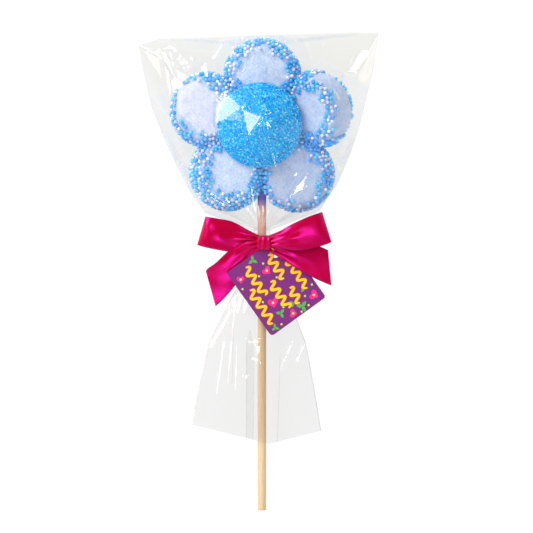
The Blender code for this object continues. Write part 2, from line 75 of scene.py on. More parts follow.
def linear(hex_colour, alpha=1.0):
    """Linear colour from an sRGB hex value."""
    channels = [int(hex_colour[i:i + 2], 16) / 255 for i in (1, 3, 5)]
    return (*[c / 12.92 if c <= 0.04045 else ((c + 0.055) / 1.055) ** 2.4 for c in channels], alpha)


def add_node(tree, kind, inputs=None, **settings):
    """Add a node with its settings. An input is a value, or the socket or node that it is linked to."""
    node = tree.nodes.new(kind)
    for key, value in settings.items():
        setattr(node, key, value)
    for key, value in (inputs or {}).items():
        if isinstance(value, bpy.types.Node):
            value = value.outputs[0]
        if isinstance(value, bpy.types.NodeSocket):
            tree.links.new(value, node.inputs[key])
        else:
            node.inputs[key].default_value = value
    return node


def reckoned(tree, operation, *terms, **settings):
    """A sum done on numbers, sockets or nodes."""
    return add_node(tree, "ShaderNodeMath", dict(enumerate(terms)), operation=operation, **settings)


def ranged(tree, value, low, high, to_low, to_high, **settings):
    """A value carried over from one range to another."""
    return add_node(
        tree, "ShaderNodeMapRange", {0: value, 1: low, 2: high, 3: to_low, 4: to_high}, **settings)


def new_material(name):
    """An empty node material and its tree."""
    material = bpy.data.materials.new(name)
    material.use_nodes = True
    material.node_tree.nodes.clear()
    return material, material.node_tree


def white_acrylic():
    """Opal acrylic sheet: matt white, glowing a little so that no hard shadow falls on it."""
    material, tree = new_material("opal_acrylic")
    matt = add_node(tree, "ShaderNodeBsdfDiffuse", {"Color": linear("#5C5C5C")})
    glow = add_node(tree, "ShaderNodeEmission", {"Color": linear("#FFFFFF"), "Strength": 0.94})
    both = add_node(tree, "ShaderNodeAddShader", {0: matt, 1: glow})
    add_node(tree, "ShaderNodeOutputMaterial", {"Surface": both})
    return material


bm = bmesh.new()
bmesh.ops.create_grid(bm, x_segments=2, y_segments=2, size=SHEET_SIDE / 2)
sheet_mesh = bpy.data.meshes.new("sheet")
bm.to_mesh(sheet_mesh)
bm.free()
sheet = bpy.data.objects.new("sheet", sheet_mesh)
sheet.location.z = SHEET_DOWN
sheet_mesh.materials.append(white_acrylic())
scene.collection.objects.link(sheet)

world = bpy.data.worlds.new("studio")
world.use_nodes = True
sky = world.node_tree
toward = add_node(sky, "ShaderNodeTexCoord").outputs["Object"]
height = add_node(sky, "ShaderNodeSeparateXYZ", {0: toward}).outputs["Z"]
shine = ranged(sky, height, 0.5, 0.9, 1.06, 0.42, interpolation_type="SMOOTHSTEP")
off_flag = add_node(
    sky, "ShaderNodeVectorMath", {0: toward, 1: FLAG_WAY.normalized()}, operation="DOT_PRODUCT")
shade = ranged(sky, off_flag.outputs["Value"], 0.93, 0.975, 1.0, 0.3, interpolation_type="SMOOTHSTEP")
sky.nodes["Background"].inputs["Color"].default_value = linear("#F9F9F8")
sky.links.new(
    reckoned(sky, "MULTIPLY", shine, shade).outputs[0], sky.nodes["Background"].inputs["Strength"])
scene.world = world


def softbox(name, heading, from_vertical, distance, width, height, radiance, colour="#FFFFFF"):
    """A square light that faces the flower from a compass heading and an angle off the vertical."""
    data = bpy.data.lights.new(name, "AREA")
    data.color = linear(colour)[:3]
    data.shape = "RECTANGLE"
    data.size = width
    data.size_y = height
    data.energy = radiance * math.pi * width * height
    lamp = bpy.data.objects.new(name, data)
    side = math.sin(math.radians(from_vertical)) * distance
    lamp.location = (
        side * math.cos(math.radians(heading)), side * math.sin(math.radians(heading)),
        math.cos(math.radians(from_vertical)) * distance)
    lamp.rotation_euler = lamp.location.to_track_quat("Z", "Y").to_euler()
    scene.collection.objects.link(lamp)


softbox("key", 132.0, 64.0, 1.6, 0.75, 0.8, 13.5)
softbox("fill", 38.0, 80.0, 1.6, 0.9, 0.6, 1.4)
softbox("foot", 240.0, 60.0, 1.5, 0.55, 0.4, 7.0)
softbox("top", 105.0, 22.0, 1.5, 0.36, 0.36, 7.0)
softbox("front", 285.0, 21.0, 1.5, 0.26, 0.26, 17.0)
softbox("veil", 305.0, 34.5, 1.5, 0.36, 0.3, 1.0, "#B8D4FF")
softbox("glare", 169.0, 39.5, 1.3, 0.55, 0.38, 3.2, "#FFCFC4")
softbox("spark", 187.0, 27.7, 1.3, 0.16, 0.14, 9.6, "#FFDDD2")

# ---------------------------------------------------------------------------------------------
# Petals: five marshmallow pucks, cast and dusted, pressed flat where they meet and stuck together.
# One leans up towards the middle, so that its outer side shows. Their faces are left bare.
PETALS = (        # CAD node, heading, distance from the centre, radius, lean and share of painted shade
    ("petal_top", 89.0, 25.6 * MM, 18.4 * MM, 0.0, 0.08),
    ("petal_upper_right", 19.7, 27.9 * MM, 18.6 * MM, 35.0, 0.24),
    ("petal_lower_right", -52.2, 28.7 * MM, 17.7 * MM, 0.0, 0.3),
    ("petal_lower_left", -127.8, 27.3 * MM, 18.1 * MM, 0.0, 0.0),
    ("petal_upper_left", 160.6, 28.3 * MM, 17.8 * MM, 0.0, 0.18),
)
PUCK_THICK = 18.0 * MM
PUCK_ROUND = 5.5 * MM
PUCK_SIDES = 132
PETAL_GAP = 0.35 * MM
SQUASH_SOFT = 1.1 * MM
LEAN_RAISE = 2.4 * MM
FACE_SWELL = 0.8 * MM          # how far a face's middle stands above its rim
RIM_PAINTED_SHADE = 0.5                # how much painted shade, bluer, a rim's side gets over a face
LEAN_PAINTED_SHADE = 0.15              # the same for the petal that leans
BEAD_BANDS = {                 # headings round each petal, width of its beads in mm and share of them
    "petal_top": ((0, 5.5, 1), (45, 5.5, 1), (90, 3.8, 1), (135, 5.5, 1), (180, 4.8, 1), (270, 3, 1)),
    "petal_upper_right": ((20, 6.5, 1), (60, 6.5, 1), (110, 8, 1), (200, 4, 1), (290, 8, 1),
                          (330, 7, 0.8)),
    "petal_lower_right": ((40, 8.5, 1), (10, 6.5, 1), (-30, 6.5, 0.9), (-62, 5, 0.6), (-90, 3, 0.35),
                          (-120, 2.5, 0.35), (-150, 4, 0.6), (-200, 4, 1), (-270, 4, 1)),
    "petal_lower_left": ((180, 10, 1), (140, 9, 1), (220, 9.5, 1), (250, 8, 0.9), (285, 7.5, 0.9),
                         (320, 6, 0.8), (360, 5.5, 0.9), (420, 4, 1)),
    "petal_upper_left": ((30, 6, 1), (65, 8, 1), (95, 6, 1), (118, 2.4, 0.5), (140, 0.5, 0.12),
                         (165, 1.4, 0.8), (200, 2.2, 0.8), (228, 6, 0.7), (260, 7.5, 1), (330, 4, 1)),
}
petal_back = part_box("petal_top")[0][2]


def direction(degrees):
    """Unit vector in the plane, at an angle from +X."""
    return Vector((math.cos(math.radians(degrees)), math.sin(math.radians(degrees)), 0.0))


def give(distance, limit):
    """A distance pressed softly so that it never falls below a limit."""
    return limit + SQUASH_SOFT * math.log1p(math.exp((distance - limit) / SQUASH_SOFT))


def valleys(index):
    """Directions that face away from a petal's two neighbours."""
    heading = PETALS[index][1]
    facings = []
    for step in (-1, 1):
        other = PETALS[(index + step) % len(PETALS)][1]
        between = heading + ((other - heading + 180.0) % 360.0 - 180.0) / 2
        facing = direction(between + 90.0)
        facings.append(facing if facing.dot(direction(heading)) > 0 else -facing)
    return facings


def puck_place(index, around, inset, height):
    """A point of a petal from its place on the puck, leaned, moved out and pressed by its neighbours."""
    _, heading, distance, radius, lean, _ = PETALS[index]
    tilt = math.radians(lean)
    along = (radius - inset) * math.cos(around)
    across = (radius - inset) * math.sin(around)
    radial = along * math.cos(tilt) - height * math.sin(tilt)
    rise = along * math.sin(tilt) + height * math.cos(tilt)
    middle = petal_back + PUCK_THICK / 2 + (LEAN_RAISE if lean else 0.0)
    point = direction(heading) * (distance + radial) + direction(heading + 90.0) * across
    point.z = middle + rise
    for facing in valleys(index):
        gap = point.dot(facing)
        point += facing * (give(gap, PETAL_GAP) - gap)
    if lean:
        point.z = give(point.z, petal_back)
    return point


def puck_profile(radius):
    """Rings of a puck from the middle of its back to the middle of its face.

    A ring is its inset, its height from the puck's middle, its turn, which is 0 on the face, 90 on the
    side and 180 on the back, and how far it lies outside the face's edge.
    """
    half = PUCK_THICK / 2
    flat = radius - PUCK_ROUND
    rings = [(radius - share * flat, -half, 180.0, 40 * MM) for share in (0.02, 0.4, 0.75)]
    for step in range(9):
        turn = 180.0 - 90.0 * step / 8
        bend = math.radians(turn)
        rings.append((PUCK_ROUND * (1 - math.sin(bend)), PUCK_ROUND * (1 + math.cos(bend)) - half, turn,
                      PUCK_ROUND * bend))
    for step in range(1, 6):
        rings.append((0.0, (PUCK_ROUND - half) * (1 - step / 3), 90.0, PUCK_ROUND * math.pi / 2))
    for step in range(13):
        turn = 90.0 - 90.0 * step / 12
        bend = math.radians(turn)
        rings.append((PUCK_ROUND * (1 - math.sin(bend)), half - PUCK_ROUND * (1 - math.cos(bend)), turn,
                      PUCK_ROUND * bend))
    for share in (0.95, 0.89, 0.83, 0.76, 0.68, 0.58, 0.46, 0.34, 0.2, 0.02):
        rings.append((radius - share * flat, half + FACE_SWELL * (1 - share ** 2), 0.0, (share - 1) * flat))
    return rings


def band_amount(index, around, turn, out, point):
    """How thickly beads lie on a petal at a place: 0 is bare and 1 is full."""
    name, heading, _, _, lean, _ = PETALS[index]
    ragged = noise.noise(point * 150.0) + 0.6 * noise.noise(point * 420.0)
    gap = min(point.dot(facing) for facing in valleys(index))
    angles, widths, shares = zip(*sorted((angle % 360, *rest) for angle, *rest in BEAD_BANDS[name]))
    compass = (heading + math.degrees(around)) % 360
    width = float(np.interp(compass, angles, widths, period=360))
    share = float(np.interp(compass, angles, shares, period=360))
    rim = out - (PUCK_ROUND - width * MM + 2.6 * MM * ragged)
    valley = (4.2 + 3.2 * ragged) * MM - gap
    amount = share * min(1.0, max(0.0, 0.5 + max(rim, valley) / (1.6 * MM)))
    outward = math.degrees((around + math.pi) % math.tau - math.pi)
    if lean and abs(outward) < 62.0 and 58.0 + 14.0 * ragged < turn < 132.0 + 14.0 * ragged:
        amount = 0.012
    if lean and abs(outward) < 75.0 and turn > 132.0:
        amount = 0.85
    if turn > 165.0 or (gap < PETAL_GAP + 0.5 * MM and turn > 80.0):
        amount = 0.0
    return amount


def made_mesh(bm, name, sharp=0.0):
    """Finish a working mesh as a smooth one, with edges kept sharp past an angle."""
    mesh = bpy.data.meshes.new(name)
    bm.to_mesh(mesh)
    bm.free()
    mesh.shade_smooth()
    if sharp:
        mesh.set_sharp_from_angle(angle=math.radians(sharp))
    return mesh


def ringed_mesh(name, rings, sharp=0.0):
    """Closed skin over rings of points, its first and last rings filled."""
    bm = bmesh.new()
    rows = [[bm.verts.new(point) for point in ring] for ring in rings]
    for low, high in zip(rows, rows[1:]):
        for i in range(len(low)):
            j = (i + 1) % len(low)
            bm.faces.new((low[i], low[j], high[j], high[i]))
    bm.faces.new(rows[0])
    bm.faces.new(rows[-1])
    bmesh.ops.recalc_face_normals(bm, faces=bm.faces)
    return made_mesh(bm, name, sharp)


def paint(mesh, name, values):
    """Give a mesh's points a named value each."""
    mesh.attributes.new(name, "FLOAT", "POINT").data.foreach_set("value", values)


def mallow_mesh(index):
    """A petal's smooth, slightly uneven skin, with its bead band and painted shade on rims, in valleys and
    all over.
    """
    name, _, _, radius, lean, painted_petal_shade = PETALS[index]
    rings, band, painted_valley_shade = [], [], []
    for inset, height, turn, out in puck_profile(radius):
        ring = []
        for i in range(PUCK_SIDES):
            around = math.tau * i / PUCK_SIDES
            place = puck_place(index, around, inset, height)
            lump = 0.40 * MM * noise.noise(place * 85.0 + Vector((index * 3.1, 0, 0)))
            lump += 0.26 * MM * noise.noise(place * 260.0)
            if turn < 150.0:
                place.z += lump
            ring.append(place)
            band.append(band_amount(index, around, turn, out, place))
            # painted shade: darker and bluer towards the neighbouring petals and round the puck's sides
            gap = min(place.dot(facing) for facing in valleys(index))
            rim = (LEAN_PAINTED_SHADE if lean else RIM_PAINTED_SHADE) * min(1.0, turn / 90)
            painted_valley_shade.append(min(1.0, max(0.0, 1.0 - gap / (5.0 * MM)) + rim))
        rings.append(ring)
    mesh = ringed_mesh("mallow_" + name, rings)
    paint(mesh, "beaded", band)
    # painted shade on rims and in the valleys between petals
    paint(mesh, "painted_valley_shade", painted_valley_shade)
    # painted shade over the whole petal, by its share in PETALS
    paint(mesh, "painted_petal_shade", [painted_petal_shade] * len(painted_valley_shade))
    return mesh


def mixed(tree, share, first, second):
    """A colour between two."""
    mix = add_node(tree, "ShaderNodeMix", {0: share, "A": first, "B": second}, data_type="RGBA")
    return mix.outputs["Result"]


def painted(tree, name):
    """The values painted on a mesh under a name."""
    return add_node(tree, "ShaderNodeAttribute", attribute_name=name).outputs["Fac"]


def own_place(tree):
    """Places in a piece's own space."""
    return add_node(tree, "ShaderNodeTexCoord").outputs["Object"]


def speckle(tree, place, scale, detail, rough=0.5):
    """Cloudy noise."""
    return add_node(
        tree, "ShaderNodeTexNoise", {"Vector": place, "Scale": scale, "Detail": detail, "Roughness": rough})


def bumped(tree, height, strength, deep, **before):
    """A surface's direction, dented by heights."""
    return add_node(
        tree, "ShaderNodeBump", {"Height": height, "Strength": strength, "Distance": deep, **before})


def skinned(material, inputs):
    """Give a material a principled surface."""
    skin = add_node(material.node_tree, "ShaderNodeBsdfPrincipled", inputs)
    add_node(material.node_tree, "ShaderNodeOutputMaterial", {"Surface": skin})
    return material


def marshmallow():
    """Cast marshmallow, dusted: matt and soft, faintly glowing, with pores and painted shade, bluer at rims
    and valleys.
    """
    material, tree = new_material("dusted_marshmallow")
    place = own_place(tree)
    pores = speckle(tree, place, 1150.0, 5.0, 0.65)
    patches = reckoned(tree, "MULTIPLY_ADD", speckle(tree, place, 260.0, 5.0, 0.65), 1.3, -1.25)
    mottle = reckoned(tree, "MULTIPLY_ADD", pores, 2.2, patches, use_clamp=True)
    tint = mixed(tree, mottle, linear("#9EBDEE"), linear("#E5F0F8"))
    # painted shade, bluer, in the valleys between petals and round their sides
    rim = mixed(tree, painted(tree, "painted_valley_shade"), tint, linear("#86A8F4"))
    # painted shade: the whole petal darkened towards grey-blue, for the petals the lamps light less
    with_petal_shade = mixed(tree, painted(tree, "painted_petal_shade"), rim, linear("#5A6FA8"))
    fine = bumped(tree, pores, 0.5, 0.18 * MM)
    coarse = bumped(tree, speckle(tree, place, 260.0, 3.0), 0.5, 0.5 * MM, Normal=fine)
    return skinned(material, {
        "Base Color": with_petal_shade, "Normal": coarse, "Roughness": 0.72, "IOR": 1.42, "Subsurface Weight": 0.2,
        "Subsurface Scale": 2.0 * MM, "Subsurface Radius": (0.9, 0.95, 1.2), "Sheen Weight": 0.15,
        "Sheen Roughness": 0.6})


def add_piece(name, mesh, material, slot, *replaced):
    """Show a finished mesh as a piece of the lollipop, which is all one body."""
    if material:
        mesh.materials.clear()
        mesh.materials.append(material)
    piece = bpy.data.objects.new(name, mesh)
    scene.collection.objects.link(piece)
    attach(piece, "root")
    if replaced:
        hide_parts(*replaced)
    return piece


mallow_skin = marshmallow()
mallows = [add_piece("mallow_" + petal[0], mallow_mesh(index), mallow_skin, "marshmallow", petal[0])
           for index, petal in enumerate(PETALS)]

# ---------------------------------------------------------------------------------------------
# Sugar beads: nonpareils of boiled sugar rolled onto the petals' rims and sides while tacky, about
# two blue to one pearly white. They lie as close as they can touch, a little sunk in the marshmallow.
BEAD_R = 1.02 * MM
BEAD_SPACING = 1.6 * MM
BEAD_SUNK = 0.35 * MM
BEAD_DENSITY = 1.6e6           # candidate places on a square metre
WHITE_SHARE = 0.36
BEAD_SEED = 11
TINT_SEED = 5


def group_inputs(tree, **kinds):
    """Give a geometry tree its output and its named inputs, listed by kind, and return the inputs."""
    tree.interface.new_socket("Geometry", in_out="INPUT", socket_type="NodeSocketGeometry")
    for kind, names in kinds.items():
        for name in names:
            tree.interface.new_socket(name, in_out="INPUT", socket_type="NodeSocket" + kind)
    tree.interface.new_socket("Geometry", in_out="OUTPUT", socket_type="NodeSocketGeometry")
    return add_node(tree, "NodeGroupInput").outputs


def group_end(tree, given, shape):
    """End a geometry tree: all made real, in the given material."""
    real = add_node(tree, "GeometryNodeRealizeInstances", {"Geometry": shape})
    coated = add_node(tree, "GeometryNodeSetMaterial", {"Geometry": real, "Material": given["Material"]})
    add_node(tree, "NodeGroupOutput", {"Geometry": coated})
    return tree


def drawn(tree, seed, low=0.0, high=1.0):
    """A number drawn for each point."""
    return add_node(
        tree, "FunctionNodeRandomValue", {2: low, 3: high, "Seed": seed}, data_type="FLOAT").outputs[1]


def scatter_tree(name, solid_kind):
    """Geometry nodes that scatter small solids over the faces painted for them."""
    tree = bpy.data.node_groups.new(name, "GeometryNodeTree")
    given = group_inputs(
        tree, Float=("Radius", "Spacing", "Density", "Lift", "Smallest", "Largest", "Kind from", "Kind to"),
        Int=("Seed",), Material=("Material",))
    seed = given["Seed"]
    where = add_node(tree, "GeometryNodeInputNamedAttribute", {"Name": "beaded"}, data_type="FLOAT")
    points = add_node(
        tree, "GeometryNodeDistributePointsOnFaces",
        {"Mesh": given["Geometry"], "Distance Min": given["Spacing"], "Density Max": given["Density"],
         "Density Factor": where, "Seed": seed}, distribute_method="POISSON")
    lift = add_node(
        tree, "ShaderNodeVectorMath", {0: points.outputs["Normal"], "Scale": given["Lift"]},
        operation="SCALE")
    raised = add_node(tree, "GeometryNodeSetPosition", {"Geometry": points, "Offset": lift})
    chance = drawn(tree, seed)
    of_kind = [
        add_node(tree, "FunctionNodeCompare", {"A": chance, "B": given[bound]}, operation=test)
        for bound, test in (("Kind from", "GREATER_EQUAL"), ("Kind to", "LESS_THAN"))]
    chosen = add_node(tree, "FunctionNodeBooleanMath", dict(enumerate(of_kind)), operation="AND")
    if solid_kind == "bead":
        solid = add_node(tree, "GeometryNodeMeshIcoSphere", {"Subdivisions": 2, "Radius": given["Radius"]})
    else:
        solid = add_node(tree, "GeometryNodeMeshCube", {"Size": given["Radius"]})
    finish = add_node(
        tree, "GeometryNodeSetShadeSmooth", {"Geometry": solid, "Shade Smooth": solid_kind == "bead"})
    turn = add_node(
        tree, "FunctionNodeRandomValue", {"Min": (0, 0, 0), "Max": (math.tau,) * 3, "Seed": seed},
        data_type="FLOAT_VECTOR")
    copies = add_node(
        tree, "GeometryNodeInstanceOnPoints",
        {"Points": raised, "Selection": chosen, "Instance": finish, "Rotation": turn,
         "Scale": drawn(tree, seed, given["Smallest"], given["Largest"])})
    stored = add_node(
        tree, "GeometryNodeStoreNamedAttribute",
        {"Geometry": copies, "Name": "tint", "Value": drawn(tree, TINT_SEED)}, data_type="FLOAT",
        domain="INSTANCE")
    return group_end(tree, given, stored)


def plain_mesh(name, carrier):
    """The mesh that an object's modifiers or its curve make. The object then goes."""
    bpy.context.view_layer.update()
    mesh = bpy.data.meshes.new_from_object(carrier.evaluated_get(bpy.context.evaluated_depsgraph_get()))
    mesh.name = name
    bpy.data.objects.remove(carrier, do_unlink=True)
    return mesh


def grown(name, mesh, tree, inputs):
    """The plain mesh that a geometry tree makes on a mesh."""
    carrier = bpy.data.objects.new(name + "_carrier", mesh)
    scene.collection.objects.link(carrier)
    modifier = carrier.modifiers.new("scatter", "NODES")
    modifier.node_group = tree
    for item in tree.interface.items_tree:
        if item.in_out == "INPUT" and item.name in inputs:
            modifier[item.identifier] = inputs[item.name]
    return plain_mesh(name, carrier)


def boiled_sugar(name, dark, light):
    """Boiled-sugar bead: hard, smooth and pearly, each bead a little lighter or darker."""
    material, tree = new_material(name)
    return skinned(material, {
        "Base Color": mixed(tree, painted(tree, "tint"), linear(dark), linear(light)), "Roughness": 0.34,
        "IOR": 1.5, "Subsurface Weight": 0.2, "Subsurface Scale": 0.6 * MM,
        "Subsurface Radius": (0.6, 0.8, 1.0), "Coat Weight": 0.25, "Coat Roughness": 0.2})





bm = bmesh.new()
for mallow in mallows:
    bm.from_mesh(mallow.data)
bead_ground = made_mesh(bm, "bead_ground")
bead_scatter = scatter_tree("bead_scatter", "bead")
for name, low, high, sugar in (
        ("sugar_beads_blue", WHITE_SHARE, 2.0, boiled_sugar("blue_boiled_sugar", "#189EFA", "#64D2FF")),
        ("sugar_beads_white", -1.0, WHITE_SHARE, boiled_sugar("pearl_boiled_sugar", "#AFC8F8", "#EEF5FF"))):
    beads = grown(name, bead_ground, bead_scatter, {
        "Radius": BEAD_R, "Spacing": BEAD_SPACING, "Density": BEAD_DENSITY, "Lift": BEAD_R - BEAD_SUNK,
        "Smallest": 0.84, "Largest": 1.12, "Kind from": low, "Kind to": high, "Seed": BEAD_SEED,
        "Material": sugar})
    add_piece(name, beads, None, "marshmallow")

# ---------------------------------------------------------------------------------------------
# Dome: the flower's middle, a marshmallow drop rolled in blue sugar crystals and set on the petals.
# Its peak lies off its centre. The grains are real little cubes, so that they sparkle.
DOME_CENTRE = Vector((-1.35 * MM, 1.25 * MM, 0.0))
DOME_PROFILE = (               # radius and height in millimetres, from the base's edge to the peak
    (19.9, 0), (20.9, 1.6), (20.1, 3.9), (16.7, 7), (10.8, 10.6), (4.9, 13.2), (1.6, 14), (0.05, 14.05))
DOME_HIGH = 14.0 * MM
DOME_PEAK_SHIFT = Vector((3.0 * MM, 3.2 * MM, 0.0))
DOME_SIDES = 120
GRAIN = 0.46 * MM              # coarser than real caster sugar, so that single crystals show
GRAIN_SPACING = 0.45 * MM
GRAIN_DENSITY = 5.0e7          # candidate places on a square metre
GRAIN_LIFT = 0.04 * MM
GRAIN_SEED = 3
dome_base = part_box("dome")[0][2]


def spline(stations, rows):
    """Points on a smooth curve through stations, which are tuples of numbers."""
    padded = [stations[0]] + list(stations) + [stations[-1]]
    spans = len(stations) - 1
    result = []
    for row in range(rows):
        place = row / (rows - 1) * spans
        k = min(int(place), spans - 1)
        t = place - k
        before, start, end, after = padded[k:k + 4]
        result.append(tuple(
            0.5 * (2 * b + (c - a) * t + (2 * a - 5 * b + 4 * c - d) * t * t
                   + (3 * b - a - 3 * c + d) * t ** 3)
            for a, b, c, d in zip(before, start, end, after)))
    return result


def dome_mesh():
    """The drop's turned skin, its peak drawn aside, slightly lumpy."""
    rings = []
    for radius, height in [(0.4, 0.0), (12.0, 0.0)] + spline(DOME_PROFILE, 44):
        ring = []
        for i in range(DOME_SIDES):
            place = DOME_CENTRE + DOME_PEAK_SHIFT * (height * MM / DOME_HIGH)
            place = place + direction(360.0 * i / DOME_SIDES) * (max(radius, 0.05) * MM)
            place.z = dome_base + height * MM
            if height > 0.5:
                place.z += 0.25 * MM * noise.noise(place * 180.0)
            ring.append(place)
        rings.append(ring)
    mesh = ringed_mesh("dome_core", rings)
    paint(mesh, "beaded", [1.0 if vertex.co.z > dome_base + 0.2 * MM else 0.0 for vertex in mesh.vertices])
    return mesh


def sugared_core():
    """Dyed marshmallow under fine sugar: strong azure, rough as sandpaper."""
    material, tree = new_material("azure_marshmallow")
    grit = add_node(tree, "ShaderNodeTexVoronoi", {"Vector": own_place(tree), "Scale": 2600.0})
    return skinned(material, {
        "Base Color": mixed(tree, grit.outputs["Distance"], linear("#00A8FA"), linear("#00D8FF")),
        "Normal": bumped(tree, grit, 0.8, 0.2 * MM), "Roughness": 0.6, "IOR": 1.5,
        "Specular Tint": linear("#5CC0FF"), "Subsurface Weight": 0.2, "Subsurface Scale": 1.0 * MM})


def sugar_crystal():
    """Dyed granulated sugar: clear hard facets, some nearly colourless, that glint one by one."""
    material, tree = new_material("azure_sugar_crystal")
    ramp = add_node(tree, "ShaderNodeValToRGB", {"Fac": painted(tree, "tint")})
    ramp.color_ramp.elements[0].color = linear("#006CDE")
    ramp.color_ramp.elements[1].color = linear("#D8FEFF")
    for stop, shade in ((0.45, "#00BEFF"), (0.84, "#48E4FF")):
        ramp.color_ramp.elements.new(stop).color = linear(shade)
    return skinned(
        material, {"Base Color": ramp, "Roughness": 0.28, "IOR": 1.54, "Specular Tint": linear("#5CC0FF")})


dome_core = dome_mesh()
grains = grown("sugar_crystals", dome_core, scatter_tree("grain_scatter", "grain"), {
    "Radius": GRAIN, "Spacing": GRAIN_SPACING, "Density": GRAIN_DENSITY, "Lift": GRAIN_LIFT,
    "Smallest": 0.55, "Largest": 1.25, "Kind from": -1.0, "Kind to": 2.0, "Seed": GRAIN_SEED,
    "Material": sugar_crystal()})
add_piece("dome_core", dome_core, sugared_core(), "blue_sugar", "dome")
add_piece("sugar_crystals", grains, None, "blue_sugar")

# ---------------------------------------------------------------------------------------------
# Stick: a turned birch dowel pushed up between the two lower petals, its end edges eased. It is flushed
# pink towards the petals, has painted shade, blue, at its top, and a lathe mark rings it near its foot.
STICK_SIDES = 48
STICK_ROWS = 60
STICK_EASE = 0.35 * MM
MARK_FROM_FOOT = 2.9 * MM
STICK_FLUSH_AND_SHADE = (               # where a tint fades in and is full, its strength and colour; the blue one is painted shade
    (-62.0 * MM, -50.0 * MM, 0.62, "#FFC4B4"), (-41.0 * MM, -35.0 * MM, 0.95, "#5A48BC"))
stick_low, stick_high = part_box("stick")
stick_x = (stick_low[0] + stick_high[0]) / 2
stick_z = (stick_low[2] + stick_high[2]) / 2
stick_r = (stick_high[2] - stick_low[2]) / 2


def dowel_mesh():
    """The dowel turned along Y, from its foot to its top."""
    foot, top = stick_low[1], stick_high[1]
    mark = foot + MARK_FROM_FOOT
    profile = [
        (0.0, foot), (stick_r - STICK_EASE, foot), (stick_r - 0.1 * MM, foot + 0.12 * MM),
        (stick_r, foot + STICK_EASE), (stick_r, mark - 0.3 * MM), (stick_r - 0.12 * MM, mark),
        (stick_r, mark + 0.3 * MM)]
    profile += [(stick_r, mark + 0.6 * MM + (top - mark - 1.2 * MM) * i / STICK_ROWS)
                for i in range(STICK_ROWS + 1)]
    profile += [(stick_r - STICK_EASE, top), (0.0, top)]
    rings = []
    for radius, y in profile:
        ring = []
        for i in range(STICK_SIDES):
            turn = direction(360.0 * i / STICK_SIDES)
            uneven = 1 + 0.012 * noise.noise(Vector((turn.x * 1.4, turn.y * 1.4, y * 45.0)))
            reach = max(radius, 0.02 * MM) * uneven
            ring.append((stick_x + turn.x * reach, y, stick_z + turn.y * reach))
        rings.append(ring)
    return ringed_mesh("birch_dowel", rings, 50)


def birch():
    """Sanded birch: pale straw, with fine darker grain lines along it, flushed pink and with painted shade
    at the top.
    """
    material, tree = new_material("sanded_birch")
    place = own_place(tree)
    along = add_node(tree, "ShaderNodeMapping", {"Vector": place, "Scale": (1.0, 0.035, 1.0)})
    fibres = speckle(tree, along, 1500.0, 4.0, 0.6)
    wood = mixed(tree, speckle(tree, along, 420.0, 2.0), linear("#D8C29E"), linear("#B6946A"))
    wood = mixed(tree, ranged(tree, fibres, 0.55, 0.8, 0.0, 0.55), wood, linear("#A9743C"))
    y = add_node(tree, "ShaderNodeSeparateXYZ", {"Vector": place}).outputs["Y"]
    # a pink flush, then painted shade, blue, at the top between the petals
    for low, high, strength, colour in STICK_FLUSH_AND_SHADE:
        wood = mixed(tree, ranged(tree, y, low, high, 0.0, strength), wood, linear(colour))
    return skinned(material, {
        "Base Color": wood, "Normal": bumped(tree, fibres, 0.3, 0.08 * MM), "Roughness": 0.55, "IOR": 1.5})


add_piece("birch_dowel", dowel_mesh(), birch(), "wooden_stick", "stick")

# ---------------------------------------------------------------------------------------------
# Film bag: one clear polypropylene bag, sealed along its top and drawn taut over the flower, then
# gathered to a neck round the stick and fanned out below. It is creased where it pulls on something.
FILM_STEP = 0.62 * MM
NECK_R = 4.2 * MM
NECK_TOP = -50.8 * MM
NECK_BOTTOM = -61.2 * MM
MOUTH_LOW = -157.7 * MM
MOUTH_LOW_X = 3.8 * MM
MOUTH_RISE = 0.25
SKIRT_LEFT = -35.6 * MM
SKIRT_RIGHT = 29.8 * MM
SKIRT_SPREAD = ((0, 0), (0.2, 0.28), (0.35, 0.5), (0.5, 0.7), (0.75, 0.86), (1, 1))
SKIRT_THICK = 3.4 * MM
SKIRT_COLUMNS = 192
SKIRT_ROWS = 150
NECK_ROWS = 12
PLEATS = 7
PLEAT_DEEP = 0.14 * MM
FACET_SPACING = 10.5 * MM      # size of the small flats that handling leaves in the film
FACET_DEEP = 0.22 * MM
PULLS = ((-9.9, 10.2, 1.3), (-29, -4, 1.2), (-6.5, 0.5, 0.5))    # x, y and lift where the film tents
NECK_FOLDS = 25                # folds that fan out from the neck over the flower
NECK_FOLD_HIGH = 0.9 * MM
NECK_FOLD_REACH = 17 * MM
SEAL_SLOPE = 0.75              # how steeply the film falls to its seal, beside the flower
CREASES = (                    # ends x, y, x, y, width on each side and height of the head's ridges
    (2, 4.5, 15.5, 17, 1.4, 0.35), (2, 4.5, -11.5, 11.5, 1.2, 0.25), (1, 3, -10, -8, 1.2, 0.28),
    (1.5, 2.5, -7, -27, 0.9, 0.34), (2, 2, -1, -30, 0.9, 0.5), (2.5, 2.5, 9, -24, 1, 0.5),
    (3, 3, 17.5, -16, 1.3, 0.26), (0.8, -10, 0.8, -48, 0.9, 0.34), (-6, -20, -1.5, -49, 1, 0.3),
    (8, -18, 2.6, -49, 1, 0.32), (26, -24, 12, -42, 1.2, 0.35), (20, -20, 8, -38, 1, 0.35),
    (-50, 40, -44, 4, 1.8, 0.6), (-46, 43, -31, 26, 1.8, 0.4), (-56, 24, -40, -8, 1.4, 0.45),
    (-52, 6, -36, -30, 1.3, 0.45), (46, 44, 40, 20, 2.2, 0.65), (54, 40, 44, 26, 1.5, 0.6),
    (50, 26, 38, -18, 1.4, 0.45), (42, -6, 33, -32, 1.3, 0.4), (34, 21, 41, 9, 1.4, 0.4),
    (-33, -26, -12, -40, 1.1, 0.35))
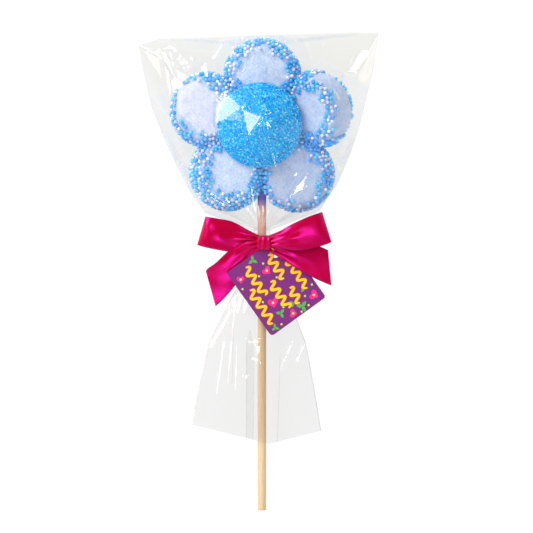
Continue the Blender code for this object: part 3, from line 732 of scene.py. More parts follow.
SKIRT_CREASES = (              # the same for the skirt's front
    (-13, -150, -11.6, -96, 0.9, 0.1), (14.5, -150, 11, -92, 0.9, 0.16), (22, -146, 17, -84, 0.9, 0.18),
    (-24, -146, -15, -84, 0.9, 0.1), (-18.5, -152, -12.5, -84, 0.9, 0.12), (5.2, -156, 4.9, -96, 0.8, 0.12),
    (11.6, -155, 9.6, -88, 0.8, 0.14), (25.6, -148, 20.5, -92, 0.8, 0.18))
HEAD_FLATS = (                 # corners, tilt, heading and lift of small flats between the head's folds
    (((23.6, -21), (18.2, -27), (13.2, -36), (20.8, -31)), 14.7, 186, 0),
    (((-8.8, 9.5), (-16.6, 17.8), (-23.4, 12), (-23.4, 0.4)), 13.8, 192.4, 0.5),
    (((-10.4, 10.3), (-6.7, -6), (1.2, 6)), 14.15, 191.2, 0.5),
    (((42, 27.5), (47, 27), (54, 36), (54.5, 39.5), (51.5, 40), (46.5, 35)),
     10, 115, 0),
    (((-51, 38.5), (-44, 25), (-42.6, 25.6), (-47.5, 39.5)), 9, 99, 0),
)
SKIRT_FLATS = (                # the same for the skirt's front
    (((-7.8, -105.4), (-7, -107.6), (0.4, -107.6), (0.9, -105.2)), 13.9, 175, 0),
    (((-3.6, -107.6), (-2.6, -113), (-0.4, -113.2), (0.4, -107.6)), 13.9, 175, 0),
    (((-5.2, -115.6), (-3.2, -117.2), (-0.6, -116.6), (-1.2, -114.2), (-4, -113.6)), 13.9, 175, 0),
    (((15.8, -106.6), (13.9, -107.4), (9, -121.4), (11, -119.4)), 13.6, 103.8, 0),
    (((21.6, -108.4), (19.7, -109.2), (16.6, -117.8), (18.6, -116.6)), 13.6, 103.8, 0),
    (((-9.6, -123.6), (-7.6, -126.6), (-6, -122)), 13.9, 175, 0),
    (((-14.9, -89.5), (-26.6, -108.8), (-24.6, -108.8), (-14, -90)), 13.9, 178, 0),
)
EDGE_FOLD = 0.5 * MM           # how far the film lies double along the bag's side edges
STRIP_UP = 0.06 * MM
FRONT_PLEATS = (               # top x and y, bottom x and y, and width of the skirt's flat front pleats
    (-7.4, -104, -7.6, -155, 0.7), (9.4, -110, 7.8, -156, 0.6), (-3.6, -108, -4.2, -150, 0.4),
    (-14, -96, -14.6, -128, 0.5))
BACK_SEAM = ((-5.8, -100, -5.8, -155, 3.6),)      # the lap seam that makes a tube of the film
PEAK_X = 0.5 * MM              # where the top petal touches the seal
film_node = bpy.data.objects["film_bag"]


def taut_planes():
    """Planes of the convex skin round everything above the neck, as rows of normal and offset."""
    points = [vertex.co.copy() for vertex in film_node.data.vertices if vertex.co.y > NECK_TOP - 0.3 * MM]
    planes = []
    for pulls in ((), PULLS):
        for x, y, lift in pulls:
            taut = min((d - nx * x * MM - ny * y * MM) / nz for nx, ny, nz, d in planes if nz > 0.02)
            points.append(Vector((x * MM, y * MM, taut + lift * MM)))
        bm = bmesh.new()
        for point in points:
            bm.verts.new(point)
        bmesh.ops.remove_doubles(bm, verts=bm.verts, dist=0.3 * MM)
        hull = bmesh.ops.convex_hull(bm, input=bm.verts)
        spare = {v for key in ("geom_interior", "geom_unused") for v in hull[key]
                 if isinstance(v, bmesh.types.BMVert)}
        bmesh.ops.delete(bm, geom=list(spare), context="VERTS")
        bmesh.ops.recalc_face_normals(bm, faces=bm.faces)
        planes = np.array([(*face.normal, face.normal.dot(face.verts[0].co)) for face in bm.faces])
        points = [vertex.co.copy() for vertex in bm.verts]
        bm.free()
    flat = [Vector((point.x, point.y)) for point in points]
    outline = [flat[i] for i in geometry.convex_hull_2d(flat)]
    return planes, outline


def crossings(outline, place, axis):
    """Where the bag's outline is crossed by a line at a place on an axis."""
    other = 1 - axis
    return [a[other] + (b[other] - a[other]) * (place - a[axis]) / (b[axis] - a[axis])
            for a, b in zip(outline, outline[1:] + outline[:1])
            if min(a[axis], b[axis]) <= place <= max(a[axis], b[axis]) and a[axis] != b[axis]]


def bag_sides(outline, y):
    """Where the bag's left and right edges are at a height up the bag."""
    found = crossings(outline, max(y, min(p.y for p in outline) + 0.01 * MM), 1)
    return min(found), max(found)


def facets(x, y, spacing, seed, stretch=1.0):
    """Small flats: heights from 0 to 1 at scattered points, with plane triangles between them."""
    rng = random.Random(seed)
    low_x, high_x = x.min() - spacing, x.max() + spacing
    low_y, high_y = y.min() - spacing, y.max() + spacing
    spots = []
    step_y = spacing * stretch
    for i in range(int((high_x - low_x) / spacing) + 2):
        for j in range(int((high_y - low_y) / step_y) + 2):
            spots.append(Vector((
                low_x + (i + rng.uniform(-0.45, 0.45)) * spacing,
                low_y + (j + rng.uniform(-0.45, 0.45)) * step_y)))
    heights = [rng.random() for _ in spots]
    verts, _, faces, origin = geometry.delaunay_2d_cdt(spots, [], [], 0, 1e-7)[:4]
    rise = [heights[o[0]] if o else 0.5 for o in origin]
    result = np.full(x.shape, 0.5)
    for a, b, c in faces:
        ax, ay = verts[a]
        bx, by = verts[b]
        cx, cy = verts[c]
        area = (bx - ax) * (cy - ay) - (cx - ax) * (by - ay)
        if abs(area) < 1e-12:
            continue
        near = (x >= min(ax, bx, cx)) & (x <= max(ax, bx, cx))
        near &= (y >= min(ay, by, cy)) & (y <= max(ay, by, cy))
        px, py = x[near], y[near]
        wb = ((px - ax) * (cy - ay) - (cx - ax) * (py - ay)) / area
        wc = ((bx - ax) * (py - ay) - (px - ax) * (by - ay)) / area
        inside = (wb >= -1e-6) & (wc >= -1e-6) & (wb + wc <= 1 + 1e-6)
        values = result[near]
        values[inside] = (rise[a] + wb * (rise[b] - rise[a]) + wc * (rise[c] - rise[a]))[inside]
        result[near] = values
    return result


def ridges(x, y, creases):
    """Roof-shaped ridges of the film, highest at the middle of their length."""
    total = np.zeros(x.shape)
    for x0, y0, x1, y1, wide, high in creases:
        dx, dy = (x1 - x0) * MM, (y1 - y0) * MM
        along = ((x - x0 * MM) * dx + (y - y0 * MM) * dy) / (dx * dx + dy * dy)
        off = ((x - x0 * MM) * dy - (y - y0 * MM) * dx) / math.hypot(dx, dy)
        swell = np.clip(np.minimum(along, 1 - along) * 4, 0, 1)
        total += high * MM * swell * np.clip(1 - np.abs(off) / (wide * MM), 0, 1)
    return total


def with_flats(x, y, z, flats):
    """Heights of a sheet with small flats let into it, each tilted its own way."""
    for corners, tilt, heading, lift in flats:
        inside = np.ones(x.shape, dtype=bool)
        for (x0, y0), (x1, y1) in zip(corners, corners[1:] + corners[:1]):
            inside &= (x1 - x0) * (y - y0 * MM) - (y1 - y0) * (x - x0 * MM) >= 0
        if inside.any():
            fall = direction(heading) * math.tan(math.radians(tilt))
            level = z + fall.x * x + fall.y * y
            z = np.where(inside, level[inside].mean() + lift * MM - fall.x * x - fall.y * y, z)
    return z


def head_sheets():
    """Front and back sheets of the bag above the neck, as grids of places."""
    planes, outline = taut_planes()
    left_corner = min(outline, key=lambda p: p.x)
    right_corner = max(outline, key=lambda p: p.x)
    columns = int((right_corner.x - left_corner.x) / FILM_STEP)
    rows = int((left_corner.y - NECK_TOP) / FILM_STEP)
    x = np.zeros((rows + 1, columns + 1))
    y = np.zeros((rows + 1, columns + 1))
    share = np.linspace(0, 1, columns + 1)
    for j in range(rows + 1):
        v = j / rows
        left_y = left_corner.y + (NECK_TOP - left_corner.y) * v
        right_y = right_corner.y + (NECK_TOP - right_corner.y) * v
        left_x = bag_sides(outline, left_y)[0] if j else left_corner.x
        right_x = bag_sides(outline, right_y)[1] if j else right_corner.x
        if j == rows:
            left_x, right_x = stick_x - NECK_R, stick_x + NECK_R
        blend = min(1.0, max(0.0, (v - 0.8) / 0.2))
        place = share + blend * ((1 - np.cos(math.pi * share)) / 2 - share)
        x[j] = left_x + (right_x - left_x) * place
        y[j] = left_y + (right_y - left_y) * place
        if v < 1:
            top = np.array([max(crossings(outline, min(max(a, left_corner.x), right_corner.x), 0))
                            for a in x[j]])
            straight = left_corner.y + (right_corner.y - left_corner.y) * place
            y[j] += (1 - v) ** 2 * (top - straight)
    front = np.full(x.shape, 1.0)
    back = np.full(x.shape, -1.0)
    for nx, ny, nz, d in planes:
        if nz > 0.02:
            front = np.minimum(front, (d - nx * x - ny * y) / nz)
        elif nz < -0.02:
            back = np.maximum(back, (d - nx * x - ny * y) / nz)
    chain = sorted((p.x, p.y) for p in outline if p.y > min(left_corner.y, right_corner.y) - 1e-6)
    below_seal = np.interp(x, *zip(*chain)) - y
    seal = (front[0] + back[0]) / 2
    slope = SEAL_SLOPE + 7.0 * np.exp(-((x - PEAK_X) / (17 * MM)) ** 4)
    front = np.minimum(front, seal[None, :] + slope * (below_seal + 0.4 * MM))
    middle = (front + back) / 2
    slack = np.clip((front - back) / (6 * MM), 0, 1)
    front = np.maximum(front, middle)
    back = np.minimum(back, middle)
    neck_x, neck_dist = x - stick_x, NECK_TOP - y
    reach = np.hypot(neck_x, neck_dist)
    bearing = np.arctan2(-neck_dist, neck_x)
    fold = (NECK_FOLDS * bearing + 2.4 * np.sin(5 * bearing)) / math.pi
    gather = NECK_FOLD_HIGH * np.abs(fold % 2 - 1)
    gather = gather * np.exp(-reach / NECK_FOLD_REACH) * np.clip(reach / (6 * MM), 0.4, 1)
    pucker = FACET_DEEP * facets(x, y, FACET_SPACING, 4) + 0.16 * MM * facets(x, y, 0.42 * FACET_SPACING, 9)
    front = with_flats(x, y, front + slack * (pucker + gather + ridges(x, y, CREASES)), HEAD_FLATS)
    back = back + slack * (0.5 * FACET_DEEP * facets(x, y, FACET_SPACING, 21) + gather)
    return x, y, front, back


def skirt_sheets():
    """Front and back sheets of the neck and of the fanned skirt, as grids of places."""
    share = np.linspace(0, 1, SKIRT_COLUMNS + 1)
    wide = -np.cos(math.pi * share)
    round_lift = np.sin(math.pi * share)
    tent_lift = 1 - np.abs(wide) ** 1.35
    rng = random.Random(17)
    rows = [(0.0, NECK_TOP + (NECK_BOTTOM - NECK_TOP) * i / NECK_ROWS) for i in range(NECK_ROWS + 1)]
    rows += [((i + 1) / SKIRT_ROWS, None) for i in range(SKIRT_ROWS)]
    grids = []
    for side in (1, -1):
        knots = sorted([-1.0, 1.0] + [rng.uniform(-1, 1) for _ in range(30)])
        pleat = np.interp(wide, knots, [rng.uniform(-1, 1) for _ in knots])
        xs, ys, zs = [], [], []
        for flare, y_neck in rows:
            spread = np.interp(flare, *zip(*SKIRT_SPREAD))
            reach = np.where(wide < 0, -SKIRT_LEFT, SKIRT_RIGHT)
            x = wide * (NECK_R + (reach - NECK_R) * spread) + stick_x
            mouth = MOUTH_LOW + MOUTH_RISE * np.abs(x - MOUTH_LOW_X)
            y = NECK_BOTTOM + (mouth - NECK_BOTTOM) * flare
            if y_neck is not None:
                y = np.full(x.shape, y_neck)
            depth = NECK_R + (SKIRT_THICK - NECK_R) * min(1.0, 3 * flare)
            lift = round_lift + (tent_lift - round_lift) * min(1.0, 3 * flare)
            beside = np.minimum(1.0, np.abs(x - stick_x) / (3 * stick_r)) ** 2
            wave = PLEAT_DEEP * spread * beside * np.cos(math.pi * PLEATS * wide + 0.6) * lift
            gather = 0.30 * MM * np.sin(24 * math.pi * share) * lift * (1 - flare) ** 4
            z = stick_z + side * depth * lift + wave + pleat * 0.08 * MM * spread * lift + gather
            xs.append(x)
            ys.append(y)
            zs.append(z)
        x, y, z = np.array(xs), np.array(ys), np.array(zs)
        flare = np.array([row[0] for row in rows])[:, None]
        dents = (facets(x, y, 8.0 * MM, 31 + side, 4.5) - 0.5) * 0.3 * MM * np.minimum(1, 4 * flare)
        z = z + dents * round_lift[None, :]
        if side > 0:
            z = with_flats(x, y, z + ridges(x, y, SKIRT_CREASES), SKIRT_FLATS)
        grids.append((x, y, z))
    return grids


def film_mesh(name, x, y, front, back, shut_top):
    """A bag's tube from a front and a back sheet that share their side edges."""
    rows, columns = x.shape
    ring = 2 * (columns - 1)
    verts = np.zeros((rows * ring, 3))
    for j in range(rows):
        base = j * ring
        verts[base:base + columns] = np.stack([x[j], y[j], front[j]], axis=1)
        verts[base + columns:base + ring] = np.stack([x[j], y[j], back[j]], axis=1)[-2:0:-1]
        for end in (0, columns - 1):
            verts[base + end, 2] = (front[j, end] + back[j, end]) / 2
    faces = []
    for j in range(rows - 1):
        for i in range(ring):
            k = (i + 1) % ring
            faces.append((j * ring + i, (j + 1) * ring + i, (j + 1) * ring + k, j * ring + k))
    mesh = bpy.data.meshes.new(name)
    mesh.from_pydata(verts.tolist(), [], faces)
    if shut_top:
        bm = bmesh.new()
        bm.from_mesh(mesh)
        bm.verts.ensure_lookup_table()
        targets = {bm.verts[ring - i]: bm.verts[i] for i in range(1, columns - 1)}
        for back_vertex, front_vertex in targets.items():
            front_vertex.co.z = back_vertex.co.z = (front_vertex.co.z + back_vertex.co.z) / 2
        bmesh.ops.weld_verts(bm, targetmap=targets)
        bmesh.ops.recalc_face_normals(bm, faces=bm.faces)
        bm.to_mesh(mesh)
        bm.free()
    mesh.shade_smooth()
    return mesh


def fold_strips(grids):
    """Narrow strips where the bag's film lies double: its side edges, its back seam and pleats."""
    strips = []
    for x, y, z in grids:
        for column, inward in ((0, 1), (-1, -1)):
            strip = []
            for j in range(len(x)):
                across = x[j, column] + inward * EDGE_FOLD
                height = np.interp(across, x[j], z[j]) + STRIP_UP
                strip.append(((x[j, column], y[j, column], z[j, column]),
                              (across, np.interp(across, x[j], y[j]), height)))
            strips.append(strip)
    for (x, y, z), pleats in ((grids[1], FRONT_PLEATS), (grids[2], BACK_SEAM)):
        up = STRIP_UP if pleats is FRONT_PLEATS else -STRIP_UP
        for x_high, y_high, x_low, y_low, width in pleats:
            strip = []
            for j in range(len(x)):
                share = (y[j].mean() / MM - y_high) / (y_low - y_high)
                if 0 <= share <= 1:
                    middle = (x_high + (x_low - x_high) * share) * MM
                    half = width / 2 * MM * min(1.0, 0.2 + 6 * share)
                    strip.append([(a, np.interp(a, x[j], y[j]), np.interp(a, x[j], z[j]) + up)
                                  for a in (middle - half, middle + half)])
            strips.append(strip)
    bm = bmesh.new()
    for strip in strips:
        rows = [[bm.verts.new(place) for place in pair] for pair in strip]
        for above, below in zip(rows, rows[1:]):
            face = bm.faces.new((above[0], above[1], below[1], below[0]))
            face.normal_update()
            if face.normal.z < 0:
                face.normal_flip()
    return made_mesh(bm, "film_folds")


def polypropylene_film(name, clearness):
    """Clear cast polypropylene film: greys what lies behind a little and mirrors lamps crisply."""
    material, tree = new_material(name)
    through = add_node(tree, "ShaderNodeBsdfTransparent", {"Color": linear(clearness)})
    mirror = add_node(tree, "ShaderNodeBsdfGlossy", {"Color": linear("#FFFFFF"), "Roughness": 0.045})
    doubled = reckoned(tree, "MULTIPLY", add_node(tree, "ShaderNodeFresnel", {"IOR": 1.49}), 1.6)
    both_faces = reckoned(tree, "MINIMUM", doubled, 0.2)
    film = add_node(tree, "ShaderNodeMixShader", {0: both_faces, 1: through, 2: mirror})
    add_node(tree, "ShaderNodeOutputMaterial", {"Surface": film})
    return material


# painted shade: the film over the flower is made a little greyer than the same film on the skirt
shaded_film = polypropylene_film("clear_polypropylene_shaded", "#F5F5F3")
plain_film = polypropylene_film("clear_polypropylene", "#F8F8F8")
head = head_sheets()
add_piece("film_head", film_mesh("film_head", *head, True), shaded_film, "clear_film", "film_bag")
skirt_grid, skirt_back_grid = skirt_sheets()
add_piece(
    "film_skirt", film_mesh("film_skirt", *skirt_grid, skirt_back_grid[2], False), plain_film, "clear_film")
add_piece("film_folds", fold_strips([head[:3], skirt_grid, skirt_back_grid]), plain_film, "clear_film")

# ---------------------------------------------------------------------------------------------
# Bow: one length of woven double-faced satin ribbon, tied round the neck with two loops, two
# slanted tails and a pleated knot. Its edges are woven selvedges.
RIBBON = 0.3 * MM
RIBBON_ACROSS = 18
THREAD = 0.35                  # mm; real satin threads are finer than can be seen here
BOW_LIMBS = {                  # x, y, z, half width, angle, rise of one edge and cup, in mm and degrees
    "loop_left": (
        (1, -56.8, 15.9, 2.6, 95, 0, 0.2), (-6, -55, 16.5, 4.3, 95, 0, 0.9),
        (-14, -54, 17, 7.5, 93, 0.5, 1.4), (-22, -52.7, 17.9, 7.7, 86, 0, 2),
        (-28, -51.5, 17.8, 7.5, 77, 0, 1.6), (-30, -51, 16, 7.3, 74, 0, 0),
        (-27.6, -51.6, 13.6, 7.3, 77, 0, -0.8), (-20, -53.2, 13, 7, 88, 0, -0.6),
        (-10, -55.2, 13.4, 4.5, 95, 0, 0), (1, -56.8, 14.6, 2.6, 95, 0, 0)),
    "loop_right": (
        (1.6, -56.8, 17.4, 2.6, 88, 0, 0.2), (8.6, -55.3, 19.6, 3.9, 88, 0, 1.4),
        (15, -54.3, 20.8, 6.4, 90, 0.9, 1.2), (23, -52.3, 21.1, 7.9, 95, 1.3, 0.9),
        (29.8, -50.2, 20.7, 8, 104, 1.1, 0.8), (32.5, -49.2, 19.4, 7.9, 107, 0, 0),
        (29.8, -50.2, 17.4, 7.9, 104, 0, 0), (22, -52.6, 17.6, 7.6, 95, 0, 0),
        (12, -55, 18, 5.2, 90, 0, 0), (1.6, -56.8, 16.6, 2.6, 88, 0, 0)),
    "tail_left": (
        (0.5, -57.4, 17.8, 2.4, 120, 0.3, 0.2), (-5.6, -59.6, 17.3, 3.9, 122, 1.7, 0.4),
        (-11.2, -65, 16.2, 6.4, 136, 1, 0.5), (-18, -72.4, 15.4, 7.4, 140, 1.1, 0.5),
        (-25.4, -80, 14.5, 9.1, 105.4, 1.5, 0)),
    "tail_right": (
        (2, -57.8, 17.6, 2.4, 60, 0, 0.2), (8.4, -59.4, 16.8, 4, 62, 0, 0.4),
        (17.4, -62, 15.8, 6.6, 66, 0, 0.4), (26, -66, 15.4, 7.9, 80, 0, 0.4),
        (34.1, -69.5, 15.2, 8.9, 95.5, 0, 0)),
}
GATHERS = 3.0                  # folds across the ribbon where it leaves the knot
GATHER_DEEP = 0.8
KNOT_CENTRE = Vector((1.4 * MM, -57.0 * MM, 16.9 * MM))
KNOT_SIZE = Vector((8.4 * MM, 7.6 * MM, 7.0 * MM))
KNOT_PLEAT_DEEP = 0.45 * MM
BAND_WIDE = 6.6 * MM
BAND_SIDES = 64


def ribbon_mesh(name, stations):
    """A limb of ribbon along stations, gathered at the knot, with a UV map across and along it."""
    places = spline(stations, 26 * (len(stations) - 1))
    bm = bmesh.new()
    uv = bm.loops.layers.uv.new("weave")
    rows = []
    run = 0.0
    last = None
    start = Vector(places[0][:3])
    for x, y, z, half, angle, rise, cup in places:
        middle = Vector((x, y, z))
        run += (middle - last).length if last else 0.0
        last = middle
        side = direction(angle) * half + Vector((0.0, 0.0, rise))
        near = math.exp(-((middle - start).length / 9.0) ** 1.5)
        ends = math.exp(-((middle - start).length / 5.0) ** 2)
        line = []
        for i in range(RIBBON_ACROSS + 1):
            share = 2 * i / RIBBON_ACROSS - 1
            fold = GATHER_DEEP * near * math.cos(math.pi * GATHERS * share + 0.8)
            ripple = 0.22 * noise.noise(middle * 0.11 + Vector((share * 0.9, len(name), 0))) * (1 - ends)
            proud = Vector((0.0, 0.0, cup * (1 - share * share) + fold + ripple))
            line.append((bm.verts.new((middle + side * share + proud) * MM), (i / RIBBON_ACROSS, run * MM)))
        rows.append(line)
    for low, high in zip(rows, rows[1:]):
        for i in range(RIBBON_ACROSS):
            corners = (low[i], low[i + 1], high[i + 1], high[i])
            face = bm.faces.new([corner[0] for corner in corners])
            for loop, corner in zip(face.loops, corners):
                loop[uv].uv = corner[1]
    limb = bpy.data.objects.new(name, made_mesh(bm, name))
    scene.collection.objects.link(limb)
    wall = limb.modifiers.new("Solidify", "SOLIDIFY")
    wall.thickness = RIBBON
    wall.offset = 0.0
    solid = plain_mesh(name, limb)
    solid.shade_smooth()
    solid.set_sharp_from_angle(angle=math.radians(60))
    return solid


def knot_mesh():
    """The knot: the ribbon's turn over the front, in soft pleats that run up and down."""
    bm = bmesh.new()
    bmesh.ops.create_uvsphere(bm, u_segments=72, v_segments=48, radius=1.0)
    for vertex in bm.verts:
        x, z, y = (math.copysign(abs(c) ** 0.72, c) for c in vertex.co)
        tuck = 1 + 0.10 * abs(y) ** 2
        pleat = KNOT_PLEAT_DEEP * math.cos(3.2 * math.pi * x + 0.9 * y + 0.4)
        crook = 0.25 * MM * noise.noise(Vector((x * 2.0, y * 1.2, z)))
        spot = Vector((x * KNOT_SIZE.x * tuck, -y * KNOT_SIZE.y, z * (KNOT_SIZE.z + 2 * pleat))) / 2
        spot.z += crook
        vertex.co = KNOT_CENTRE + spot
    bmesh.ops.recalc_face_normals(bm, faces=bm.faces)
    uv = bm.loops.layers.uv.new("weave")
    for face in bm.faces:
        for loop in face.loops:
            offset = loop.vert.co - KNOT_CENTRE
            loop[uv].uv = (0.5 + 0.45 * offset.x / KNOT_SIZE.x, offset.y)
    return made_mesh(bm, "bow_knot")


def band_mesh():
    """The ribbon's turn round the neck behind the knot, with rounded edges."""
    inner = NECK_R + 1.0 * MM
    outer = inner + 2 * RIBBON
    bm = bmesh.new()
    uv = bm.loops.layers.uv.new("weave")
    section = [(inner, 0.5), (outer - 0.1 * MM, 0.5), (outer, 0.47), (outer, 0.24), (outer, 0.0),
               (outer, -0.24), (outer, -0.47), (outer - 0.1 * MM, -0.5), (inner, -0.5)]
    rings = []
    for radius, up in section:
        ring = []
        for i in range(BAND_SIDES):
            turn = direction(360.0 * i / BAND_SIDES)
            fold = 0.16 * MM * math.cos(12.0 * up + 0.6 * math.sin(math.tau * i / BAND_SIDES))
            spot = turn * (radius + (fold if radius > inner else 0))
            ring.append(bm.verts.new((stick_x + spot.x, KNOT_CENTRE.y + up * BAND_WIDE, stick_z + spot.y)))
        rings.append(ring)
    for k in range(len(rings)):
        low, high = rings[k], rings[(k + 1) % len(rings)]
        for i in range(BAND_SIDES):
            j = (i + 1) % BAND_SIDES
            face = bm.faces.new((low[i], low[j], high[j], high[i]))
            for loop in face.loops:
                loop[uv].uv = (0.5 + (loop.vert.co.y - KNOT_CENTRE.y) / BAND_WIDE, loop.vert.co.x)
    bmesh.ops.recalc_face_normals(bm, faces=bm.faces)
    return made_mesh(bm, "bow_band", 60)


def satin():
    """Polyester satin: deep raspberry, with soft bright bands where its floats catch the light."""
    material, tree = new_material("polyester_satin")
    weave = add_node(tree, "ShaderNodeUVMap", uv_map="weave")
    across, along, _ = add_node(tree, "ShaderNodeSeparateXYZ", {0: weave}).outputs
    from_middle = reckoned(tree, "ABSOLUTE", reckoned(tree, "SUBTRACT", across, 0.5))
    selvedge = ranged(tree, from_middle, 0.455, 0.475, 0.0, 1.0)
    tick = reckoned(tree, "SINE", reckoned(tree, "MULTIPLY", along, math.tau / (0.9 * MM)))
    ticks = reckoned(tree, "MULTIPLY", tick, selvedge)
    stretch = add_node(
        tree, "ShaderNodeMapping", {"Vector": weave, "Scale": (60.0, 0.6 / (THREAD * MM), 1.0)})
    height = reckoned(tree, "MULTIPLY_ADD", speckle(tree, stretch, 1.0, 2.0), 0.35, ticks)
    return skinned(material, {
        "Base Color": mixed(tree, selvedge, linear("#A00014"), linear("#74000C")),
        "Normal": bumped(tree, height, 0.42, 0.12 * MM), "Roughness": 0.25, "IOR": 1.6,
        "Specular IOR Level": 1.0, "Specular Tint": linear("#FF2CCC"), "Anisotropic": 0.5,
        "Sheen Weight": 0.2, "Sheen Roughness": 0.4, "Sheen Tint": linear("#FF28C0")})


raspberry_satin = satin()
for limb, stations in BOW_LIMBS.items():
    name = "bow_" + limb
    replaced = ("bow",) if limb == "loop_left" else ()
    add_piece(name, ribbon_mesh(name, stations), raspberry_satin, "satin_ribbon", *replaced)
add_piece("bow_knot", knot_mesh(), raspberry_satin, "satin_ribbon")
add_piece("bow_band", band_mesh(), raspberry_satin, "satin_ribbon")

# ---------------------------------------------------------------------------------------------
# Tag: a die-cut card with rounded corners and a punched hole, printed purple with a plain pattern
# of yellow garlands, hearts, leaves and dots. It hangs aslant, tucked in under the knot.
TAG_WIDE = 34.0 * MM
TAG_LONG = 38.8 * MM
TAG_THICK = 0.5 * MM
TAG_CORNER = 1.6 * MM
TAG_HOLE_R = 2.6 * MM
TAG_HOLE = (9.0 * MM, 13.5 * MM)
TAG_PLACE = (
    Matrix.Translation((7.4 * MM, -78.1 * MM, 16.2 * MM)) @ Matrix.Rotation(math.radians(8.7), 4, "Y")
    @ Matrix.Rotation(math.radians(-4.2), 4, "X") @ Matrix.Rotation(math.radians(35.2), 4, "Z"))
INK_UP = 0.03 * MM             # one layer of ink, thick enough not to flicker against the card


def flat_mesh(name, outlines, low, high, place):
    """A thin plate with the given outlines; an outline inside another is a hole."""
    curve = bpy.data.curves.new(name, "CURVE")
    curve.dimensions = "2D"
    curve.fill_mode = "BOTH"
    curve.extrude = (high - low) / 2
    for points in outlines:
        edge = curve.splines.new("POLY")
        edge.points.add(len(points) - 1)
        for point, (x, y) in zip(edge.points, points):
            point.co = (x, y, 0.0, 1.0)
        edge.use_cyclic_u = True
    guide = bpy.data.objects.new(name, curve)
    scene.collection.objects.link(guide)
    mesh = plain_mesh(name, guide)
    mesh.transform(place @ Matrix.Translation((0.0, 0.0, (low + high) / 2)))
    bm = bmesh.new()
    bm.from_mesh(mesh)
    bmesh.ops.remove_doubles(bm, verts=bm.verts, dist=0.002 * MM)
    bmesh.ops.recalc_face_normals(bm, faces=bm.faces)
    bm.to_mesh(mesh)
    bm.free()
    return mesh


def ring_of(x, y, radius, sides):
    """Outline of a round spot."""
    return [(x + direction(360.0 * i / sides).x * radius, y + direction(360.0 * i / sides).y * radius)
            for i in range(sides)]


def heart(x, y, size, turn):
    """Outline of a heart."""
    points = []
    for i in range(28):
        t = math.tau * i / 28
        across = 16 * math.sin(t) ** 3
        up = 13 * math.cos(t) - 5 * math.cos(2 * t) - 2 * math.cos(3 * t) - math.cos(4 * t)
        spot = Matrix.Rotation(math.radians(turn), 2) @ Vector((across, up)) * (size / 32)
        points.append((x + spot.x, y + spot.y))
    return points


def leaf(x, y, long, turn):
    """Outline of a pointed leaf that starts at a place."""
    points = []
    for side in (1, -1):
        for i in range(8):
            share = i / 8 if side > 0 else 1 - i / 8
            spot = Matrix.Rotation(math.radians(turn), 2) @ Vector(
                (share * long, side * 0.27 * long * math.sin(math.pi * share ** 0.85)))
            points.append((x + spot.x, y + spot.y))
    return points


def garland(x, y, long, waves, swing, stroke):
    """Outline of a wavy band that runs down the card from a place."""
    steps = int(14 * waves)
    middle = [(x + swing * math.sin(math.tau * waves * i / steps), y - long * i / steps)
              for i in range(steps + 1)]
    left, right = [], []
    for i, (mx, my) in enumerate(middle):
        before, after = middle[max(i - 1, 0)], middle[min(i + 1, steps)]
        dx, dy = after[0] - before[0], after[1] - before[1]
        length = math.hypot(dx, dy)
        half = stroke / 2 * min(1.0, 0.45 + min(i, steps - i) / 3)
        left.append((mx - dy / length * half, my + dx / length * half))
        right.append((mx + dy / length * half, my - dx / length * half))
    return left + right[::-1]


def garlands(stroke):
    """Outlines of all the garlands."""
    return [garland(x * MM, y * MM, long * MM, waves, swing * MM, stroke)
            for x, y, long, waves, swing in GARLANDS]


def printed_card(name, hex_colour, roughness):
    """Coated card or its ink: even colour under a thin satin varnish with a faint fibre grain."""
    material, tree = new_material(name)
    grain = bumped(tree, speckle(tree, own_place(tree), 900.0, 3.0), 0.12, 0.05 * MM)
    return skinned(
        material, {"Base Color": linear(hex_colour), "Normal": grain, "Roughness": roughness, "IOR": 1.5})


tag_edge = []
for quarter in range(4):
    corner_x = (TAG_WIDE / 2 - TAG_CORNER) * (1 if quarter in (0, 3) else -1)
    corner_y = (TAG_LONG / 2 - TAG_CORNER) * (1 if quarter in (0, 1) else -1)
    for step in range(9):
        turn = direction(90.0 * quarter + 11.25 * step) * TAG_CORNER
        tag_edge.append((corner_x + turn.x, corner_y + turn.y))
tag_mesh = flat_mesh(
    "tag_card", [tag_edge, ring_of(*TAG_HOLE, TAG_HOLE_R, 40)], -TAG_THICK / 2, TAG_THICK / 2, TAG_PLACE)
add_piece("tag_card", tag_mesh, printed_card("purple_card", "#6C0C6B", 0.5), "printed_card", "tag")

GARLANDS = (                   # x, y, length, waves, swing in millimetres
    (11.8, 9, 19, 4, 1.7), (5.2, 14.5, 14, 3, 1.9), (-1.6, 3, 16, 3.5, 1.9), (-7.6, 16, 17, 3.5, 1.8),
    (-12.6, 5.5, 20, 4, 1.9), (4.6, -5, 9, 2, 1.8))
HEARTS = ((12.6, -15, 5, 30), (-6.6, -6.2, 5.2, -20), (0.2, 8.6, 4.6, 15), (-1.4, -16.4, 4.2, 50),
          (-13.2, 12.6, 4, -30))
SPRIGS = ((4.6, -16.2, 3.1), (10.4, -9.2, 2.4), (-13, -17, 2.2), (-6.4, -12.8, 2.6), (-2.6, 16.8, 2.6),
          (1.4, -12.4, 2))
SPOTS = ((8.6, -12.8), (7.4, -17.6), (14.8, -10.2), (2.4, 3), (-4.6, 8.6), (-15.2, 8.2), (-9.4, -17.4),
         (14.6, 13), (-10.6, -3), (2.6, -18.2), (0.8, 12.6), (-3.6, -11))
card_top = TAG_THICK / 2
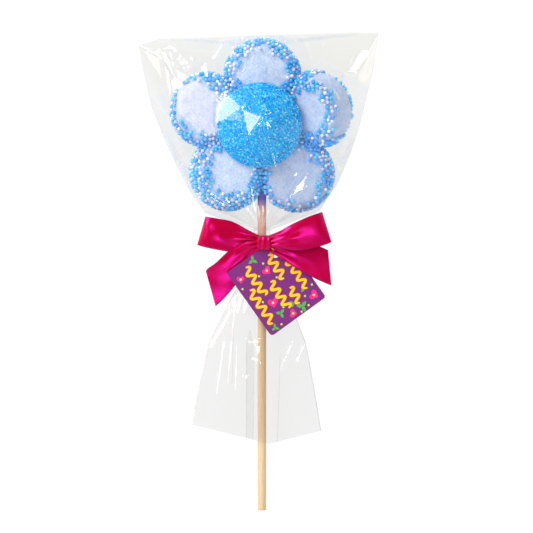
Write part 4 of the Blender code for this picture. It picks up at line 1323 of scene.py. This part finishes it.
prints = {
    "amber_outline": ("#B5560A", 1, garlands(1.75 * MM)),
    "yellow_garland": ("#FFBE12", 2, garlands(1.25 * MM)),
    "pink_heart": ("#F0187C", 1, [heart(x * MM, y * MM, s * MM, a) for x, y, s, a in HEARTS]),
    "yellow_eye": ("#FFD83A", 2, [ring_of(x * MM, y * MM, 0.6 * MM, 14) for x, y, _, _ in HEARTS]),
    "green_leaf": ("#43A838", 1, [leaf(x * MM, y * MM, long * MM, 90 + 120 * k + 11 * x)
                                  for x, y, long in SPRIGS for k in range(3)]),
    "lime_spot": ("#A9D25A", 1, [ring_of(x * MM, y * MM, 0.55 * MM, 12) for x, y in SPOTS]),
}
for name, (colour, layer, outlines) in prints.items():
    ink = flat_mesh(
        "ink_" + name, outlines, card_top - 0.05 * MM, card_top + INK_UP * layer, TAG_PLACE)
    add_piece("ink_" + name, ink, printed_card("ink_" + name, colour, 0.38), "printed_card")

# ---------------------------------------------------------------------------------------------
# Cord: three-ply gold twine, once round the neck under the ribbon, then down through the tag's hole
# and back up behind the knot. Its plies are twisted, which shows as slanting ridges.
CORD_R = 0.45 * MM
CORD_Y = -54.4 * MM
CORD_RING_R = NECK_R + 0.5 * MM
CORD_LAY = 2.6 * MM            # length of one twist
CORD_RUN = (                   # from the neck's right side, up through the hole and back
    (6.1, -53.6, 10.6), (6.6, -57.4, 12), (7, -60.6, 13.3), (7.2, -62, 14.8), (7, -62.1, 16.3),
    (6.1, -60.9, 17), (4.8, -59, 16.9), (3.5, -57, 16.2), (2.5, -55.2, 15.5), (1.9, -53.5, 15.1))


def twine_tree():
    """Geometry nodes that sweep a three-lobed section, twisting it, along a path."""
    tree = bpy.data.node_groups.new("twine", "GeometryNodeTree")
    given = group_inputs(tree, Float=("Radius", "Hollow", "Twist"), Material=("Material",))
    path = add_node(tree, "GeometryNodeMeshToCurve", {"Mesh": given["Geometry"]})
    run = add_node(tree, "GeometryNodeSplineParameter").outputs["Length"]
    turn = reckoned(tree, "MULTIPLY", run, given["Twist"])
    twisted = add_node(tree, "GeometryNodeSetCurveTilt", {"Curve": path, "Tilt": turn})
    plies = add_node(
        tree, "GeometryNodeCurveStar",
        {"Points": 3, "Inner Radius": given["Hollow"], "Outer Radius": given["Radius"]})
    rope = add_node(tree, "GeometryNodeCurveToMesh", {"Curve": twisted, "Profile Curve": plies})
    return group_end(tree, given, rope)


def gold_twine():
    """Cotton and lurex twine: straw gold, softly lustrous."""
    return skinned(new_material("gold_twine")[0], {
        "Base Color": linear("#DDB274"), "Metallic": 0.2, "Roughness": 0.45, "Sheen Weight": 0.3})


cord_stations = []
for i in range(11):
    turn = direction(76.0 + 28.0 * i) * CORD_RING_R
    cord_stations.append((stick_x + turn.x, CORD_Y, stick_z + turn.y))
cord_stations += [(x * MM, y * MM, z * MM) for x, y, z in CORD_RUN]
cord_stations.append(cord_stations[0])
cord_path = spline(cord_stations, 260)[:-1]
path_mesh = bpy.data.meshes.new("cord_path")
path_mesh.from_pydata(cord_path, [(i, (i + 1) % len(cord_path)) for i in range(len(cord_path))], [])
twine = grown("gold_cord", path_mesh, twine_tree(), {
    "Radius": CORD_R, "Hollow": 0.62 * CORD_R, "Twist": math.tau / CORD_LAY, "Material": gold_twine()})
twine.shade_smooth()
add_piece("gold_cord", twine, None, "gold_cord", "tag_cord")
